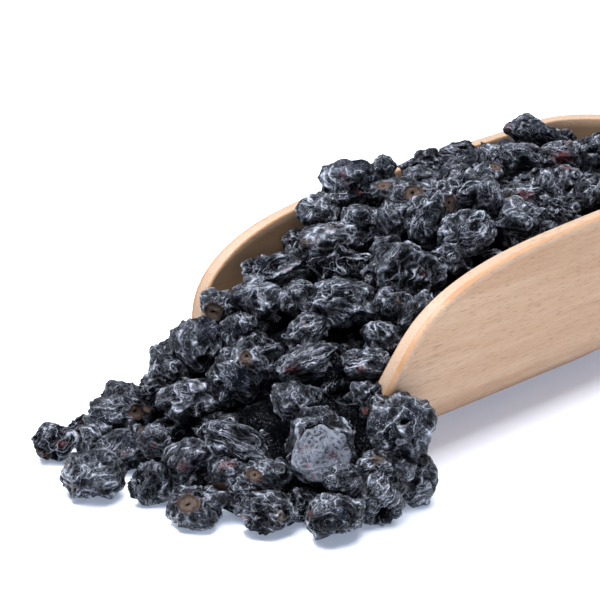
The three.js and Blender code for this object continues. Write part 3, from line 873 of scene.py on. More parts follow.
class Kind(Enum):
    """A mark on a currant: a scar, a deep hollow, a smooth or a ribbed flat, a red or a brown patch."""

    SCAR = "scar"
    PIT = "pit"
    FACET = "facet"
    PLATE = "plate"
    FLUSH = "flush"
    TAN = "tan"


@dataclass(frozen=True)
class Mark:
    """A mark on a currant, by its offset from the currant's middle and its width, in pixels."""

    kind: Kind
    right: float
    down: float
    width: float


@dataclass(frozen=True)
class Look:
    """A currant's looks: the pixel of its middle, its sizes in mm, its lean in degrees and its skin.

    The lift raises it off the heap in mm, the run turns its ridges in degrees, the sheen is a share
    of blue-grey bloom and painted sheen, and the dark a share of painted shade.
    """

    u: float
    v: float
    wide: float
    tall: float
    lean: float = 0.0
    lift: float = 0.0
    wrinkle: Wrinkle = Wrinkle.CRUMPLED
    run: float = 0.0
    sheen: float = 0.3
    dark: float = 0.0
    marks: tuple[Mark, ...] = ()


@dataclass
class Currant:
    """One dried currant where it lies: its middle in mm, its looks, its turn in degrees and its seed."""

    at: np.ndarray
    look: Look
    turn: float = 0.0
    seed: int = 0
    pixels_per_mm: float = 7.1
    shown: bool = False

    @property
    def radius(self) -> float:
        """Half the mean of its width and its height."""
        return (self.look.wide + self.look.tall) / 4

    @property
    def is_large(self) -> bool:
        """Tell whether it is wide or carries a scar, and so takes more faces."""
        return self.look.wide > LARGE_WIDTH or any(mark.kind is Kind.SCAR for mark in self.look.marks)


# Above this width in mm a currant takes more faces, and so many currants make up one piece
LARGE_WIDTH = 6.8
PER_PIECE = 16
RIDGED, RINGED, PLEATED = Wrinkle.RIDGED, Wrinkle.RINGED, Wrinkle.PLEATED
# How ragged the border of each kind of mark is, and each kind by its offset and its width
RAGGED = dict(zip(Kind, (0.08, 0.45, 0.25, 0.06, 0.45, 0.45)))
scar, pit, facet, plate, flush, tan = (partial(Mark, kind) for kind in Kind)

# The currants that the picture shows: the front rows on the table, the mouth and the crown
SEEN = (
    Look(57, 443, 6.7, 5.0, sheen=0.1, dark=0.6, marks=(tan(-14, 13, 16), flush(12, -2, 12))),
    Look(92, 475, 8.3, 6.6, sheen=0.25, marks=(pit(10, 22, 16), tan(-20, 8, 14), flush(-24, -12, 12))),
    Look(117, 413, 8.4, 5.4, lift=-3, sheen=0.6, marks=(facet(-16, 2, 26), scar(22, -5, 21))),
    Look(130, 398, 5.0, 4.4, lift=-3),
    Look(118, 446, 6.8, 4.6, lift=-1.5, marks=(facet(14, -8, 22), flush(6, 4, 8))),
    Look(155, 442, 5.0, 4.6, wrinkle=RIDGED, marks=(flush(0, 2, 8),)),
    Look(150, 482, 5.6, 5.4, wrinkle=PLEATED, sheen=0.45),
    Look(197, 507, 7.6, 5.3, marks=(scar(-8, -6, 24),)),
    Look(193, 462, 7.8, 6.4, sheen=0.4, marks=(facet(16, -2, 22), flush(-10, 0, 14))),
    Look(190, 403, 9.0, 6.5, sheen=0.45, marks=(pit(4, 24, 30), flush(-20, 0, 8))),
    Look(158, 388, 6.2, 6.0, lift=-1.5, sheen=0.1, dark=0.6),
    Look(238, 443, 8.9, 5.0, lean=-25, wrinkle=RIDGED, sheen=0.5),
    Look(227, 474, 5.7, 4.6, marks=(flush(0, -12, 20), scar(-6, 11, 18))),
    Look(266, 476, 6.7, 4.5, marks=(scar(-13, -4, 18), flush(-13, -4, 22))),
    Look(243, 493, 4.2, 3.6, lift=-0.6, sheen=0.5),
    Look(267, 511, 7.7, 5.3, marks=(tan(19, 2, 20), flush(-26, 4, 10))),
    Look(335, 518, 7.2, 6.1, sheen=0.35, marks=(facet(6, -10, 18), flush(-22, -6, 12))),
    Look(320, 447, 9.6, 10.2, lift=-1.0, wrinkle=RINGED, sheen=0.8,
         marks=(plate(3, 4, 62), flush(16, 2, 10), flush(-4, 26, 8), flush(-14, -6, 8), flush(-11, 12, 7))),
    Look(297, 405, 6.6, 6.6, wrinkle=RIDGED, run=-50, sheen=0.4),
    Look(343, 480, 5.2, 4.4, wrinkle=RIDGED, run=20, sheen=0.5),
    Look(368, 405, 8.0, 5.8, sheen=0.45, marks=(flush(-4, 6, 16), tan(11, 17, 5))),
    Look(402, 425, 8.8, 9.0, lift=4.5, sheen=0.35, marks=(facet(14, -12, 26), pit(2, -7, 9))),
    Look(375, 464, 5.0, 4.0, marks=(tan(0, -8, 14),)),
    Look(378, 495, 7.0, 7.0, sheen=0.3, marks=(pit(4, 24, 22),)),
    Look(413, 480, 6.2, 6.8, sheen=0.3),
    Look(394, 466, 6.0, 5.4, lift=-0.5),
    Look(220, 307, 5.4, 5.4, marks=(scar(-4, 5, 22),)),
    Look(198, 345, 7.8, 8.0, sheen=0.3, marks=(facet(12, -18, 26), pit(6, 16, 16))),
    Look(170, 370, 4.8, 4.6, lift=-0.5, sheen=0.2),
    Look(258, 358, 6.9, 6.6, lift=1.2, sheen=0.4, marks=(scar(-13, -2, 16), tan(-12, 6, 18))),
    Look(235, 378, 7.5, 7.0, wrinkle=RIDGED, run=-40, sheen=0.5, marks=(facet(2, -2, 34),)),
    Look(240, 330, 5.4, 5.2, sheen=0.5, marks=(facet(0, 0, 16),)),
    Look(262, 300, 8.5, 6.2, sheen=0.7),
    Look(308, 362, 8.6, 4.8, lean=20, wrinkle=RIDGED, sheen=0.2, marks=(flush(-18, 4, 18),)),
    Look(345, 302, 9.2, 6.6, wrinkle=RIDGED, run=-25, sheen=0.8, marks=(pit(15, 11, 12),)),
    Look(308, 330, 6.0, 5.0, lean=20, sheen=0.3, marks=(tan(-3, -8, 8),)),
    Look(383, 337, 5.8, 4.4, sheen=0.6, marks=(facet(7, 3, 14),)),
    Look(365, 363, 7.4, 4.8, sheen=0.5, marks=(flush(-6, 2, 14), tan(23, 2, 10), pit(-8, -17, 12))),
    Look(415, 315, 7.5, 4.0, lean=58, wrinkle=RIDGED, sheen=0.3, marks=(flush(-14, 14, 12),)),
    Look(393, 305, 5.2, 5.2, marks=(tan(6, -6, 8),)),
    Look(275, 272, 9.0, 5.6, lean=12, sheen=0.6, marks=(facet(-13, -13, 14), flush(14, -2, 8))),
    Look(340, 263, 8.8, 5.4, sheen=0.1, dark=0.8),
    Look(407, 268, 10.2, 8.2, sheen=0.8, wrinkle=RIDGED, run=60, marks=(flush(20, 2, 16),)),
    Look(330, 242, 8.9, 6.2, lean=12, sheen=0.2, marks=(tan(-20, 0, 14), tan(-2, -12, 8))),
    Look(318, 215, 6.6, 6.6, sheen=0.15),
    Look(350, 183, 9.3, 7.2, sheen=0.6,
         marks=(facet(0, -18, 34), facet(18, -3, 18), flush(-3, 2, 9), flush(8, 11, 10), flush(-8, -8, 8))),
    Look(383, 170, 4.0, 4.8, lift=1, sheen=0.3),
    Look(365, 222, 7.5, 5.4, marks=(pit(5, 6, 17), tan(14, -2, 8))),
    Look(395, 218, 5.6, 6.2, wrinkle=RIDGED, run=-51, sheen=0.3),
    Look(408, 195, 6.4, 5.2, marks=(scar(2, -2, 19),)),
    Look(418, 170, 6.1, 4.6, lift=-0.6, marks=(pit(-3, 0, 22), tan(2, 4, 18))),
    Look(425, 218, 5.6, 6.7, sheen=0.7, marks=(facet(2, -4, 14),)),
    Look(438, 203, 5.3, 6.8, marks=(scar(11, 2, 22),)),
    Look(463, 192, 6.9, 7.2, sheen=0.6, marks=(facet(10, 10, 18), flush(-21, -16, 8))),
    Look(460, 155, 7.0, 4.5, sheen=0.3, marks=(pit(4, -8, 12),)),
    Look(428, 158, 4.2, 3.4, lift=1),
    Look(467, 235, 8.0, 7.4, sheen=0.7, wrinkle=RIDGED, run=30),
    Look(450, 258, 6.0, 5.0, lift=-0.8, sheen=0.2),
    Look(515, 222, 8.4, 7.1, wrinkle=RINGED, sheen=0.4, marks=(facet(13, -7, 18),)),
    Look(520, 197, 6.8, 4.2, marks=(flush(0, 0, 26), tan(-13, -1, 8))),
    Look(520, 160, 6.9, 5.6, sheen=0.7, wrinkle=RIDGED),
    Look(493, 158, 5.2, 5.0, marks=(pit(10, -3, 12),)),
    Look(532, 134, 9.6, 6.0, lean=-14, lift=1.2, sheen=0.35, marks=(flush(-27, -2, 16), facet(6, -4, 20))),
    Look(558, 158, 6.4, 4.2, marks=(flush(0, 0, 24),)),
    Look(590, 152, 5.8, 5.2, marks=(pit(0, 0, 14),)),
    Look(566, 178, 5.4, 4.2, marks=(flush(0, -12, 18),)),
    Look(547, 188, 5.1, 6.3, sheen=0.4),
    Look(557, 210, 6.1, 4.6, sheen=0.3),
    Look(582, 196, 4.8, 4.5, sheen=0.6),
    Look(488, 200, 4.6, 6.4, sheen=0.3),
    Look(600, 190, 5.0, 5.0, sheen=0.3),
)

# Currants deep in gaps of the heap through which the wood or the table would show, painted dark as shade
IN_GAPS = tuple(Look(*row, sheen=0.0, dark=0.9) for row in (
    (357, 429, 6.5, 5.5, 0, -3.0), (336, 384, 5.5, 5.0, 0, -3.0), (262, 428, 6.5, 5.5, 0, -3.0),
    (283, 436, 6.0, 5.0, 0, -3.0), (372, 440, 6.0, 5.0, 0, -3.5)))

# Places between the currants that stay open to view, each by its pixel and its radius in pixels
OPEN_PLACES = np.array([
    (64, 405, 9), (122, 485, 4), (140, 412, 8), (275, 237, 9), (398, 170, 3), (492, 141, 3), (585, 130, 6),
    (245, 417, 8), (272, 388, 5), (333, 388, 8), (348, 331, 6), (519, 180, 8), (592, 178, 8), (500, 246, 6),
    (450, 282, 6)], float)


@dataclass
class Heap:
    """Where the currants lie: the rule of the solid heaps, with the same seeded draws."""

    scoop: Scoop
    view: View
    toe_x: float = LIP_X - 23.5
    near_toe_retreat: float = 0.6
    near_toe_y: float = -7.0
    table_layer: float = 2.6
    heap_slope: float = 0.6
    crown: float = 33.6
    crown_tilt: float = 0.05
    crown_arch: float = 0.012
    near_dip: float = 0.06
    near_dip_y: float = -8.0
    back_dip: float = 0.007
    back_dip_start: float = 70.0
    fan_half_width: float = 24.5
    flank_foot: float = 3.0
    near_flank_slope: float = 2.2
    far_flank_slope: float = 1.1
    mouth_rise: float = 3.0
    currant_width: float = 7.0
    crowding: float = 0.87
    seed: int = 20231
    throws: int = 6000
    deeper_throws: int = 2500
    sight_top: float = 45.0
    sight_step: float = 0.05
    probe_step: float = 1.5
    probes: int = 40
    margin_pixels: float = 12.0
    settled: float = 0.1
    least_layer: float = 2.0
    least_rise: float = 0.4
    cover_share: float = 0.6
    sunk_out_of_view: float = 0.4
    sunk_in_view: float = 1.6
    sunk_at_open: float = 4.0
    side_limit: float = 18.0
    currants: list[Currant] = field(default_factory=list)

    def surface(self, x: np.ndarray, y: np.ndarray) -> np.ndarray:
        """Height of the outermost currants' middles: the lowest of slope, crown and flanks."""
        toe = self.toe_x + self.near_toe_retreat * np.maximum(0, self.near_toe_y - y)
        slope = self.table_layer + self.heap_slope * (x - toe)
        near = self.near_dip * np.maximum(0, self.near_dip_y - y) ** 2
        back = self.back_dip * np.maximum(0, x - LIP_X - self.back_dip_start) ** 2
        crown = self.crown + self.crown_tilt * y - self.crown_arch * y * y - near - back
        steepness = np.where(y < 0, self.near_flank_slope, self.far_flank_slope)
        rise = np.where(np.abs(y) < self.scoop.half_width, self.mouth_rise, -1.0)
        flank = self.flank_foot + steepness * (self.fan_half_width - np.abs(y))
        flank = flank + np.maximum(0, x - LIP_X) * rise
        return np.minimum(np.minimum(slope, crown), flank)

    def landed(self, look: Look) -> np.ndarray:
        """Find the middle of a currant, where its line of sight first meets the heap or the table."""
        heights = self.sight_top - self.sight_step * np.arange(round(self.sight_top / self.sight_step))
        points = self.view.point_at(look.u, look.v, heights)
        heap = self.surface(points[:, 0], points[:, 1]) + look.lift
        low = (heights <= look.tall / 2 - self.settled) | (heights <= heap)
        return points[np.argmax(low)]

    def is_hidden(self, point: np.ndarray) -> bool:
        """Tell whether the heap stands between a point and the eye."""
        probe = point - self.view.forward * self.probe_step * np.arange(1, self.probes + 1)[:, None]
        return bool(np.any(probe[:, 2] < self.surface(probe[:, 0], probe[:, 1])))

    def has_room(self, x: float, y: float, radius: float) -> bool:
        """Tell whether a currant fits between the walls or on the open table round the mouth."""
        s = x - LIP_X
        half, _, end = self.scoop.side(True)
        in_bowl = abs(y) < half - TOUCH_GAP - radius and s < end - radius - 1
        beside_lip = s < 3 and abs(y) > self.scoop.half_width + TOUCH_GAP + 0.7 * radius
        return in_bowl or beside_lip or s < -0.6 * radius

    def is_clear(self, at: np.ndarray, radius: float, others: list[Currant]) -> bool:
        """Tell whether a currant of this radius crowds none of the others."""
        places, radii = np.array([c.at for c in others]), np.array([c.radius for c in others])
        return bool(np.all(np.linalg.norm(places - at, axis=1) > self.crowding * (radius + radii)))

    def covers_seen(self, at: np.ndarray, share: float, beyond: float = 0.0) -> bool:
        """Tell whether a currant would stand in front of one that the picture shows whole.

        Args:
            at: Its middle.
            share: The part of the shown currant's radius that stays clear.
            beyond: How much more stays clear, in mm.

        Returns:
            True where it does.
        """
        shown = [c for c in self.currants if c.shown]
        pixel = self.view.pixel_of(at)
        others = self.view.pixel_of(np.array([c.at for c in shown]))
        apart = np.hypot(*(others[:, :2] - pixel[:2]).T) * pixel[2] / self.view.focal_pixels
        near = apart < share * np.array([c.radius for c in shown]) + beyond
        return bool(np.any(near & (pixel[2] < others[:, 2])))

    def covers_open(self, at: np.ndarray, radius: float) -> bool:
        """Tell whether a currant of this radius would stand in front of an open place."""
        pixel = self.view.pixel_of(at)
        reach = radius * self.view.focal_pixels / pixel[2] + OPEN_PLACES[:, 2]
        return bool(np.any(np.hypot(*(OPEN_PLACES[:, :2] - pixel[:2]).T) < reach))

    def thrown(self, seed: int, count: int, least: float, spread: float) -> Iterator[tuple[float, ...]]:
        """Throw currants at the heap with a repeatable generator.

        Each state is the last one times 16807, modulo 2147483647, a draw is the state over that
        modulus, and a throw takes six draws.

        Args:
            seed: The generator's first state.
            count: How many are thrown.
            least: The least width, as a share of the usual one.
            spread: How much that share varies.

        Yields:
            Its place x and y, width, height, lean and turn, and the heap's height there.
        """
        state, modulus = seed, 2147483647
        for _ in range(count):
            draws = []
            for _ in range(6):
                state = state * 16807 % modulus
                draws.append(state / modulus)
            x = self.toe_x + draws[0] * (self.scoop.bowl_length + LIP_X - self.toe_x)
            y = self.fan_half_width * (2 * draws[1] - 1)
            wide = self.currant_width * (least + spread * draws[2])
            tall = wide * (0.7 + 0.2 * draws[3])
            yield x, y, wide, tall, 50 * (draws[4] - 0.5), 360 * draws[5], float(self.surface(x, y))

    def lay(self) -> None:
        """Lay the currants that the picture shows, then the rest of the heap's skin round them."""
        for look in SEEN:
            at = self.landed(look)
            scale = self.view.focal_pixels / self.view.pixel_of(at)[2]
            self.currants.append(Currant(at, look, pixels_per_mm=scale, shown=True))
        shown = len(self.currants)
        for x, y, wide, tall, lean, turn, surface in self.thrown(self.seed, self.throws, 0.72, 0.42):
            radius = (wide + tall) / 4
            if surface <= self.least_layer or not self.has_room(x, y, radius):
                continue
            skin = np.array([x, y, surface])
            outside = self.view.pixel_of(skin)[0] > self.view.picture_pixels + self.margin_pixels
            unseen = outside or self.is_hidden(skin)
            sunk = self.sunk_out_of_view if unseen else self.sunk_in_view
            at = np.array([x, y, max(tall / 2 - self.settled, surface - sunk)])
            if not unseen and self.covers_seen(at, self.cover_share):
                at[2] -= self.sunk_in_view
            if self.covers_open(at, radius):
                at[2] -= self.sunk_at_open
            if at[2] > self.least_rise * tall and self.is_clear(at, radius, self.currants):
                self.currants.append(self.filler(at, wide, tall, lean, turn))
        for number, currant in enumerate(self.currants):
            currant.seed = 101 + 37 * number
        LOG.info("%d currants, %d of them shown by the picture", len(self.currants), shown)

    def filler(self, at: np.ndarray, wide: float, tall: float, lean: float, turn: float) -> Currant:
        """Make a currant that the picture doesn't show, with looks drawn by its place.

        Args:
            at: Its middle.
            wide: Its width.
            tall: Its height.
            lean: Its lean in degrees.
            turn: Its turn in degrees.

        Returns:
            The currant.
        """
        draw = np.random.default_rng(int(1000 * abs(at[0])) + int(1000 * abs(at[1])))
        wrinkle = draw.choice([Wrinkle.CRUMPLED, Wrinkle.CRUMPLED, RIDGED, RINGED, PLEATED])
        marks = []
        for mark, chance, width in ((scar, 0.35, 17), (facet, 0.5, 20), (flush, 0.5, 14), (pit, 0.3, 13)):
            right, down = draw.uniform(-14, 14, 2)
            if draw.random() < chance:
                marks.append(mark(right, down, width * draw.uniform(0.8, 1.2)))
        run, sheen = draw.uniform(-60, 60), draw.uniform(0.1, 0.7)
        u, v, _ = self.view.pixel_of(at)
        look = Look(u, v, wide, tall, lean, wrinkle=wrinkle, run=run, sheen=sheen, marks=tuple(marks))
        return Currant(at, look, turn)

    def deeper(self, depth: float, seed: int) -> list[Currant]:
        """Lay a layer of currants under the skin, to be seen through its gaps.

        Args:
            depth: How far the layer's middles lie under the skin's.
            seed: The throws' seed.

        Returns:
            The layer's currants.
        """
        laid = [Currant(self.landed(look), look, seed=seed + number) for number, look in enumerate(IN_GAPS)]
        for number, thrown in enumerate(self.thrown(seed, self.deeper_throws, 0.75, 0.35)):
            x, y, wide, tall, lean, turn, surface = thrown
            radius = (wide + tall) / 4
            s, z = x - LIP_X, surface - depth
            floor = tall / 2 + (0.0 if s < 0 else self.scoop.floor_thickness)
            if z < floor - 1.5 or not self.has_room(x, y, radius):
                continue
            at = np.array([x, y, max(z, floor)])
            if s > 0 and abs(y) > float(self.scoop.width_at(True, s, at[2])) - 0.7 * radius:
                continue
            if self.covers_seen(at, 1.0, 0.5 * radius) or self.covers_open(at, 0.7 * radius):
                continue
            if self.is_clear(at, radius, laid):
                u, v, _ = self.view.pixel_of(at)
                # The layer under the skin lies in shade, and is painted dark
                look = Look(u, v, wide, tall, lean, sheen=0.1, dark=0.6)
                laid.append(Currant(at, look, turn, seed + 37 * number))
        return laid

    def in_bowl(self, currant: Currant) -> bool:
        """Tell whether a currant belongs to the heap in the scoop."""
        return bool(currant.at[0] > LIP_X + 0.3 * currant.radius and abs(currant.at[1]) < self.side_limit)


@dataclass
class Peel:
    """A currant's skin in the making, with a value for each point of its ball.

    Its distance from the middle, its crests, how freely it creases, and its two colour attributes,
    whose channels are crest, bloom, red and fold, and scar, plate, brown and pleat. The crest channel
    paints shade in the hollows and highlights on the crests, and the bloom channel a blue-grey bloom
    with painted sheen.
    """

    height: np.ndarray
    crest: np.ndarray
    calm: np.ndarray
    skin: np.ndarray
    marks: np.ndarray

    def press(self, kind: Kind, x: np.ndarray, angle: np.ndarray) -> None:
        """Flatten, hollow or colour the place of a mark.

        Args:
            kind: What the mark is.
            x: Each point's distance from the mark's middle, one at its border.
            angle: The same distance as an angle.
        """
        inside = 1 - smooth_step(0.85, 1.1, x)
        level = float(np.mean(self.height[x < 1])) if np.any(x < 1) else 0.85
        flat = level / np.maximum(np.cos(np.minimum(angle, 1.0)), 0.6) ** 0.7
        match kind:
            case Kind.SCAR:
                self.height = level + (self.height - level) * smooth_step(0.9, 1.9, x)
                self.height = blended(inside, self.height, level - 0.05 + 0.07 * x * x)
                self.height += 0.07 * bell(x, 1.05, 0.14) - 0.06 * bell(x, 0, 0.2)
                self.calm *= 1 - 0.85 * inside
                self.crest = blended(inside, self.crest, 0.35)
                raise_to(self.marks[:, 0], np.clip(1 - x / 2, 0, 1))
            case Kind.PIT:
                self.height -= 0.36 * (1 - smooth_step(0.35, 1.0, x)) - 0.06 * bell(x, 1.1, 0.2)
                self.crest *= smooth_step(0.4, 1.0, x)
                self.calm *= 0.4 + 0.6 * smooth_step(0.5, 1.0, x)
            case Kind.FACET:
                self.height = blended(inside, self.height, flat + 0.1 * (self.height - level))
                self.calm *= 1 - 0.8 * inside
                # A facet's bloom channel paints a blue-grey sheen on it
                raise_to(self.skin[:, 1], inside)
            case Kind.PLATE:
                self.height = blended(inside, self.height, flat + 0.35 * (self.height - level))
                self.height -= 0.06 * bell(x, 1.12, 0.1) + 0.04 * bell(x, 1.4, 0.08)
                self.calm *= 1 - 0.3 * inside
                self.crest = np.maximum(self.crest, 0.75 * inside) * (1 - 0.85 * bell(x, 1.12, 0.12))
                # The plate's bloom channel paints a blue-grey sheen on it, and its plate channel pale ribs
                raise_to(self.skin[:, 1], inside)
                raise_to(self.marks[:, 1], inside)
            case Kind.FLUSH:
                raise_to(self.skin[:, 2], np.clip(1.15 - 0.75 * x, 0, 1))
            case Kind.TAN:
                raise_to(self.marks[:, 2], np.clip(1.15 - 0.75 * x, 0, 1))


@dataclass
class CurrantShaper:
    """Shrivels currants: a ball whose skin has fallen into cells, creased and wrinkled.

    Each set of cells holds their number, how deep the deepest sinks, how wide a border is and what
    it adds to the crests.
    """

    view: View
    scoop: Scoop
    material: bpy.types.Material
    cell_sets: tuple[tuple[int, float, float, float], ...] = (
        (8, 0.56, 0.34, 0.6), (34, 0.12, 0.18, 0.3), (100, 0.035, 0.09, 0.18))
    ridge_radius: float = 0.17
    plumpness: tuple[float, float, float] = (1.07, 1.05, 1.02)
    scar_share: float = 0.86
    wood_gap: float = 0.15
    floor_gap: float = 0.2
    box_gap: float = 0.02
    table_gap: float = 0.03
    mass_cell: float = 0.8
    mass_plumpness: float = 1.15

    @staticmethod
    def ball(cells: int) -> tuple[np.ndarray, np.ndarray]:
        """Cover a unit ball with six square patches.

        On each patch two angles run from -45 to 45 degrees, and their tangents and a one are the
        point's direction, so that the faces are about equal.

        Args:
            cells: Faces along a patch's side.

        Returns:
            Unit directions and faces of four vertex numbers that face outwards.
        """
        line = np.tan(np.linspace(-1, 1, cells + 1) * math.pi / 4)
        a, b = np.meshgrid(line, line, indexing="ij")
        one = np.ones_like(a)
        patches = ((a, b, one), (b, a, -one), (one, a, b), (-one, b, a), (b, one, a), (a, -one, b))
        points = np.stack([np.stack(patch, axis=-1) for patch in patches]).reshape(-1, 3)
        points /= np.linalg.norm(points, axis=1, keepdims=True)
        faces = quads(np.arange(len(points)).reshape(6, cells + 1, cells + 1))
        _, first, where = np.unique(np.round(points, 5), axis=0, return_index=True, return_inverse=True)
        return points[first], where.ravel()[faces]

    def mark_direction(self, currant: Currant, mark: Mark) -> np.ndarray:
        """Turn a mark's pixel offset into a unit vector in the currant's own axes."""
        across = 2 * mark.right / (currant.look.wide * currant.pixels_per_mm)
        up = -2 * mark.down / (currant.look.tall * currant.pixels_per_mm)
        reach = max(1.0, math.hypot(across, up) / 0.96)
        across, up = across / reach, up / reach
        towards = math.sqrt(max(0.0, 1 - across * across - up * up))
        sine, cosine = self.view.sine, self.view.cosine
        direction = np.array([across, up * sine - towards * cosine, up * cosine + towards * sine])
        direction = turned(direction, currant.look.lean, 2, 0)
        return direction / np.linalg.norm(direction)

    def shrivelled(self, currant: Currant, ball: np.ndarray) -> tuple[np.ndarray, np.ndarray, np.ndarray]:
        """Shrivel one currant.

        The unit ball sinks between the borders of sets of cells, from coarse to fine, whose lookup
        is bent by noise so that the borders meander. Crests of noise stand on it, drawn out along,
        round or down the currant as its skin has shrunk. Marks flatten, hollow or colour their
        place. The result is fitted to the currant's sizes.

        Args:
            currant: The currant.
            ball: Unit directions.

        Returns:
            Points in mm in the part's frame, the skin's colours and the marks' colours.
        """
        look = currant.look
        draw = np.random.default_rng(currant.seed)
        shift = draw.uniform(0, 100, 3)
        bent = ball + 0.26 * noise_vectors(ball * 1.6 + shift, 3)
        bent += 0.08 * noise_vectors(ball * 4.3 + shift, 11)
        peel = Peel(
            1 + 0.22 * gradient_noise(ball * 1.3 + shift, 17), np.zeros(len(ball)), np.ones(len(ball)),
            np.zeros((len(ball), 4)), np.zeros((len(ball), 4)))
        for count, deepest, width, weight in self.cell_sets:
            seeds = draw.normal(size=(count, 3))
            seeds /= np.linalg.norm(seeds, axis=1, keepdims=True)
            depth = draw.uniform(0.25, 1.0, count) ** 2 * deepest
            distance = np.linalg.norm(bent[:, None] - seeds, axis=2)
            nearest = np.argsort(distance, axis=1)[:, :2]
            first, second = np.take_along_axis(distance, nearest, axis=1).T
            rounded = self.ridge_radius * width
            sunk = 1 - np.exp(-(np.sqrt((second - first) ** 2 + rounded ** 2) - rounded) / width)
            peel.height -= depth[nearest[:, 0]] * sunk
            peel.crest += weight * (1 - sunk * (0.45 + 0.55 * depth[nearest[:, 0]] / deepest))
        grain = self.wrinkle_places(currant, bent)
        folds, pleats = gradient_noise(grain * 2.2 + shift, 21), gradient_noise(grain * 4.4 + shift, 31)
        crests, finer = crested(folds, 1.5), crested(pleats, 1.3)
        for mark in look.marks:
            angle = np.arccos(np.clip(ball @ self.mark_direction(currant, mark), -1, 1))
            reach = mark.width / (2 * currant.radius * currant.pixels_per_mm)
            reach *= self.scar_share if mark.kind is Kind.SCAR else 1.0
            x = angle / reach * (1 + RAGGED[mark.kind] * gradient_noise(ball * 3.5 + shift, 51))
            peel.press(mark.kind, x, angle)
        peel.height += (0.075 * crests + 0.022 * finer) * peel.calm
        crest = peel.crest * 0.7 + peel.calm * (0.35 * crests + 0.25 * finer)
        points = ball * peel.height[:, None] + 0.09 * noise_vectors(ball * 2.4 + shift, 61)
        low, high = points.min(axis=0), points.max(axis=0)
        sizes = np.array([look.wide, (look.wide + look.tall) / 2, look.tall]) * self.plumpness
        points = turned((points - (low + high) / 2) * sizes / (high - low), -look.lean, 2, 0)
        points = turned(points, currant.turn - math.degrees(self.view.yaw), 0, 1) + currant.at
        # The sheen share paints a blue-grey sheen in patches, together with the bloom
        bloom = look.sheen * smooth_step(-0.15, 0.4, gradient_noise(ball * 1.5 + shift, 71))
        # Painted shade: the dark share darkens the crests of a currant that lies in shade
        peel.skin[:, 0] = np.clip(crest * (1 - 0.5 * look.dark), 0, 1)
        peel.skin[:, 1] = np.clip(0.8 * peel.skin[:, 1] + 0.5 * bloom, 0, 1)
        for colours, noise in ((peel.skin, folds), (peel.marks, pleats)):
            colours[:, 3] = np.clip(0.5 + 0.5 * noise / np.maximum(peel.calm, 0.3), 0, 1)
        return points, peel.skin, peel.marks

    def wrinkle_places(self, currant: Currant, ball: np.ndarray) -> np.ndarray:
        """Stretch the noise's places so that the crests run as the skin has shrunk.

        Args:
            currant: The currant.
            ball: Bent unit directions.

        Returns:
            Places for the noise.
        """
        wrinkle = currant.look.wrinkle
        right = np.array([1.0, 0.0, 0.0])
        up = np.array([0.0, self.view.sine, self.view.cosine])
        if wrinkle is Wrinkle.CRUMPLED:
            axis = np.random.default_rng(currant.seed + 1).normal(size=3)
            axis /= np.linalg.norm(axis)
            return ball * 1.15 - 0.7 * 1.15 * (ball @ axis)[:, None] * axis
        if wrinkle is Wrinkle.RIDGED:
            run = math.radians(currant.look.run)
            along = right * math.cos(run) + up * math.sin(run)
            return ball * 1.25 - 0.85 * 1.25 * (ball @ along)[:, None] * along
        pole = np.array([0.0, -self.view.cosine, self.view.sine]) if wrinkle is Wrinkle.RINGED else up
        polar = ball @ pole
        side = ball - polar[:, None] * pole
        if wrinkle is Wrinkle.RINGED:
            angle = np.arccos(np.clip(polar / np.linalg.norm(ball, axis=1), -1, 1))
            return np.stack([angle * 1.6, 0.45 * side @ right, 0.45 * side @ up], axis=-1)
        around = side / np.maximum(np.linalg.norm(side, axis=1, keepdims=True), 0.15)
        return around * 1.5 + 0.35 * polar[:, None] * pole

    def kept_clear(self, points: np.ndarray, middle: np.ndarray) -> np.ndarray:
        """Keep a currant off the table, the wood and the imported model's box.

        Points inside the wall move out of it, forwards where the currant lies in front of the
        wall's end, or else to the side on which the currant lies.

        Args:
            points: The currant's points in mm.
            middle: Its middle.

        Returns:
            The moved points.
        """
        points = points.copy()
        s, z = points[:, 0] - LIP_X, points[:, 2]
        side, away = np.sign(points[:, 1]), np.abs(points[:, 1])
        inner_half, _, inner_end = self.scoop.side(True)
        end = inner_end - self.floor_gap
        inner = self.scoop.width_at(True, np.clip(s, 0, end), z) - self.wood_gap
        outer = self.scoop.width_at(False, np.zeros_like(z), z) + self.wood_gap
        station = self.scoop.rim_station(z) - self.wood_gap
        behind = (s > station) & (z < self.scoop.rim_height(np.maximum(s, 0)) + TOUCH_GAP)
        middle_s, middle_y = middle[0] - LIP_X, abs(middle[1])
        if middle_y < inner_half:
            lowest = self.scoop.inner_floor(np.clip(s, 0, end), np.zeros_like(s)) + self.floor_gap
            points[:, 2] = np.maximum(z, lowest * smooth_step(-1.5, 0.0, s))
            points[:, 0] = np.minimum(points[:, 0], LIP_X + end)
            points[:, 1] = np.where(behind & (away > inner), side * np.maximum(inner, 0), points[:, 1])
        elif middle_s < 1.0 and middle_y < self.scoop.half_width:
            blocked = behind & (away > inner) & (away < outer)
            points[:, 0] = np.where(blocked, LIP_X + station, points[:, 0])
        else:
            points[:, 1] = np.where(behind & (away < outer), side * outer, points[:, 1])
        low, high = np.array(CAD_BOX) / MM
        points = np.clip(points, low + self.box_gap, high - self.box_gap)
        points[:, 2] = np.maximum(points[:, 2], self.table_gap)
        return points

    def finished(
        self, name: str, node: str, points: np.ndarray, faces: np.ndarray, **colours: np.ndarray,
    ) -> None:
        """Make a mesh a finished piece of the part.

        Args:
            name: The piece's name.
            node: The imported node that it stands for.
            points: Its points in mm.
            faces: Its faces.
            **colours: The skin's and the marks' colours.
        """
        piece = add_piece(name, points, faces, self.material, **colours)
        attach(piece, "root")
        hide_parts(node)
        LOG.info("%s: %d triangles", name, 2 * len(faces))

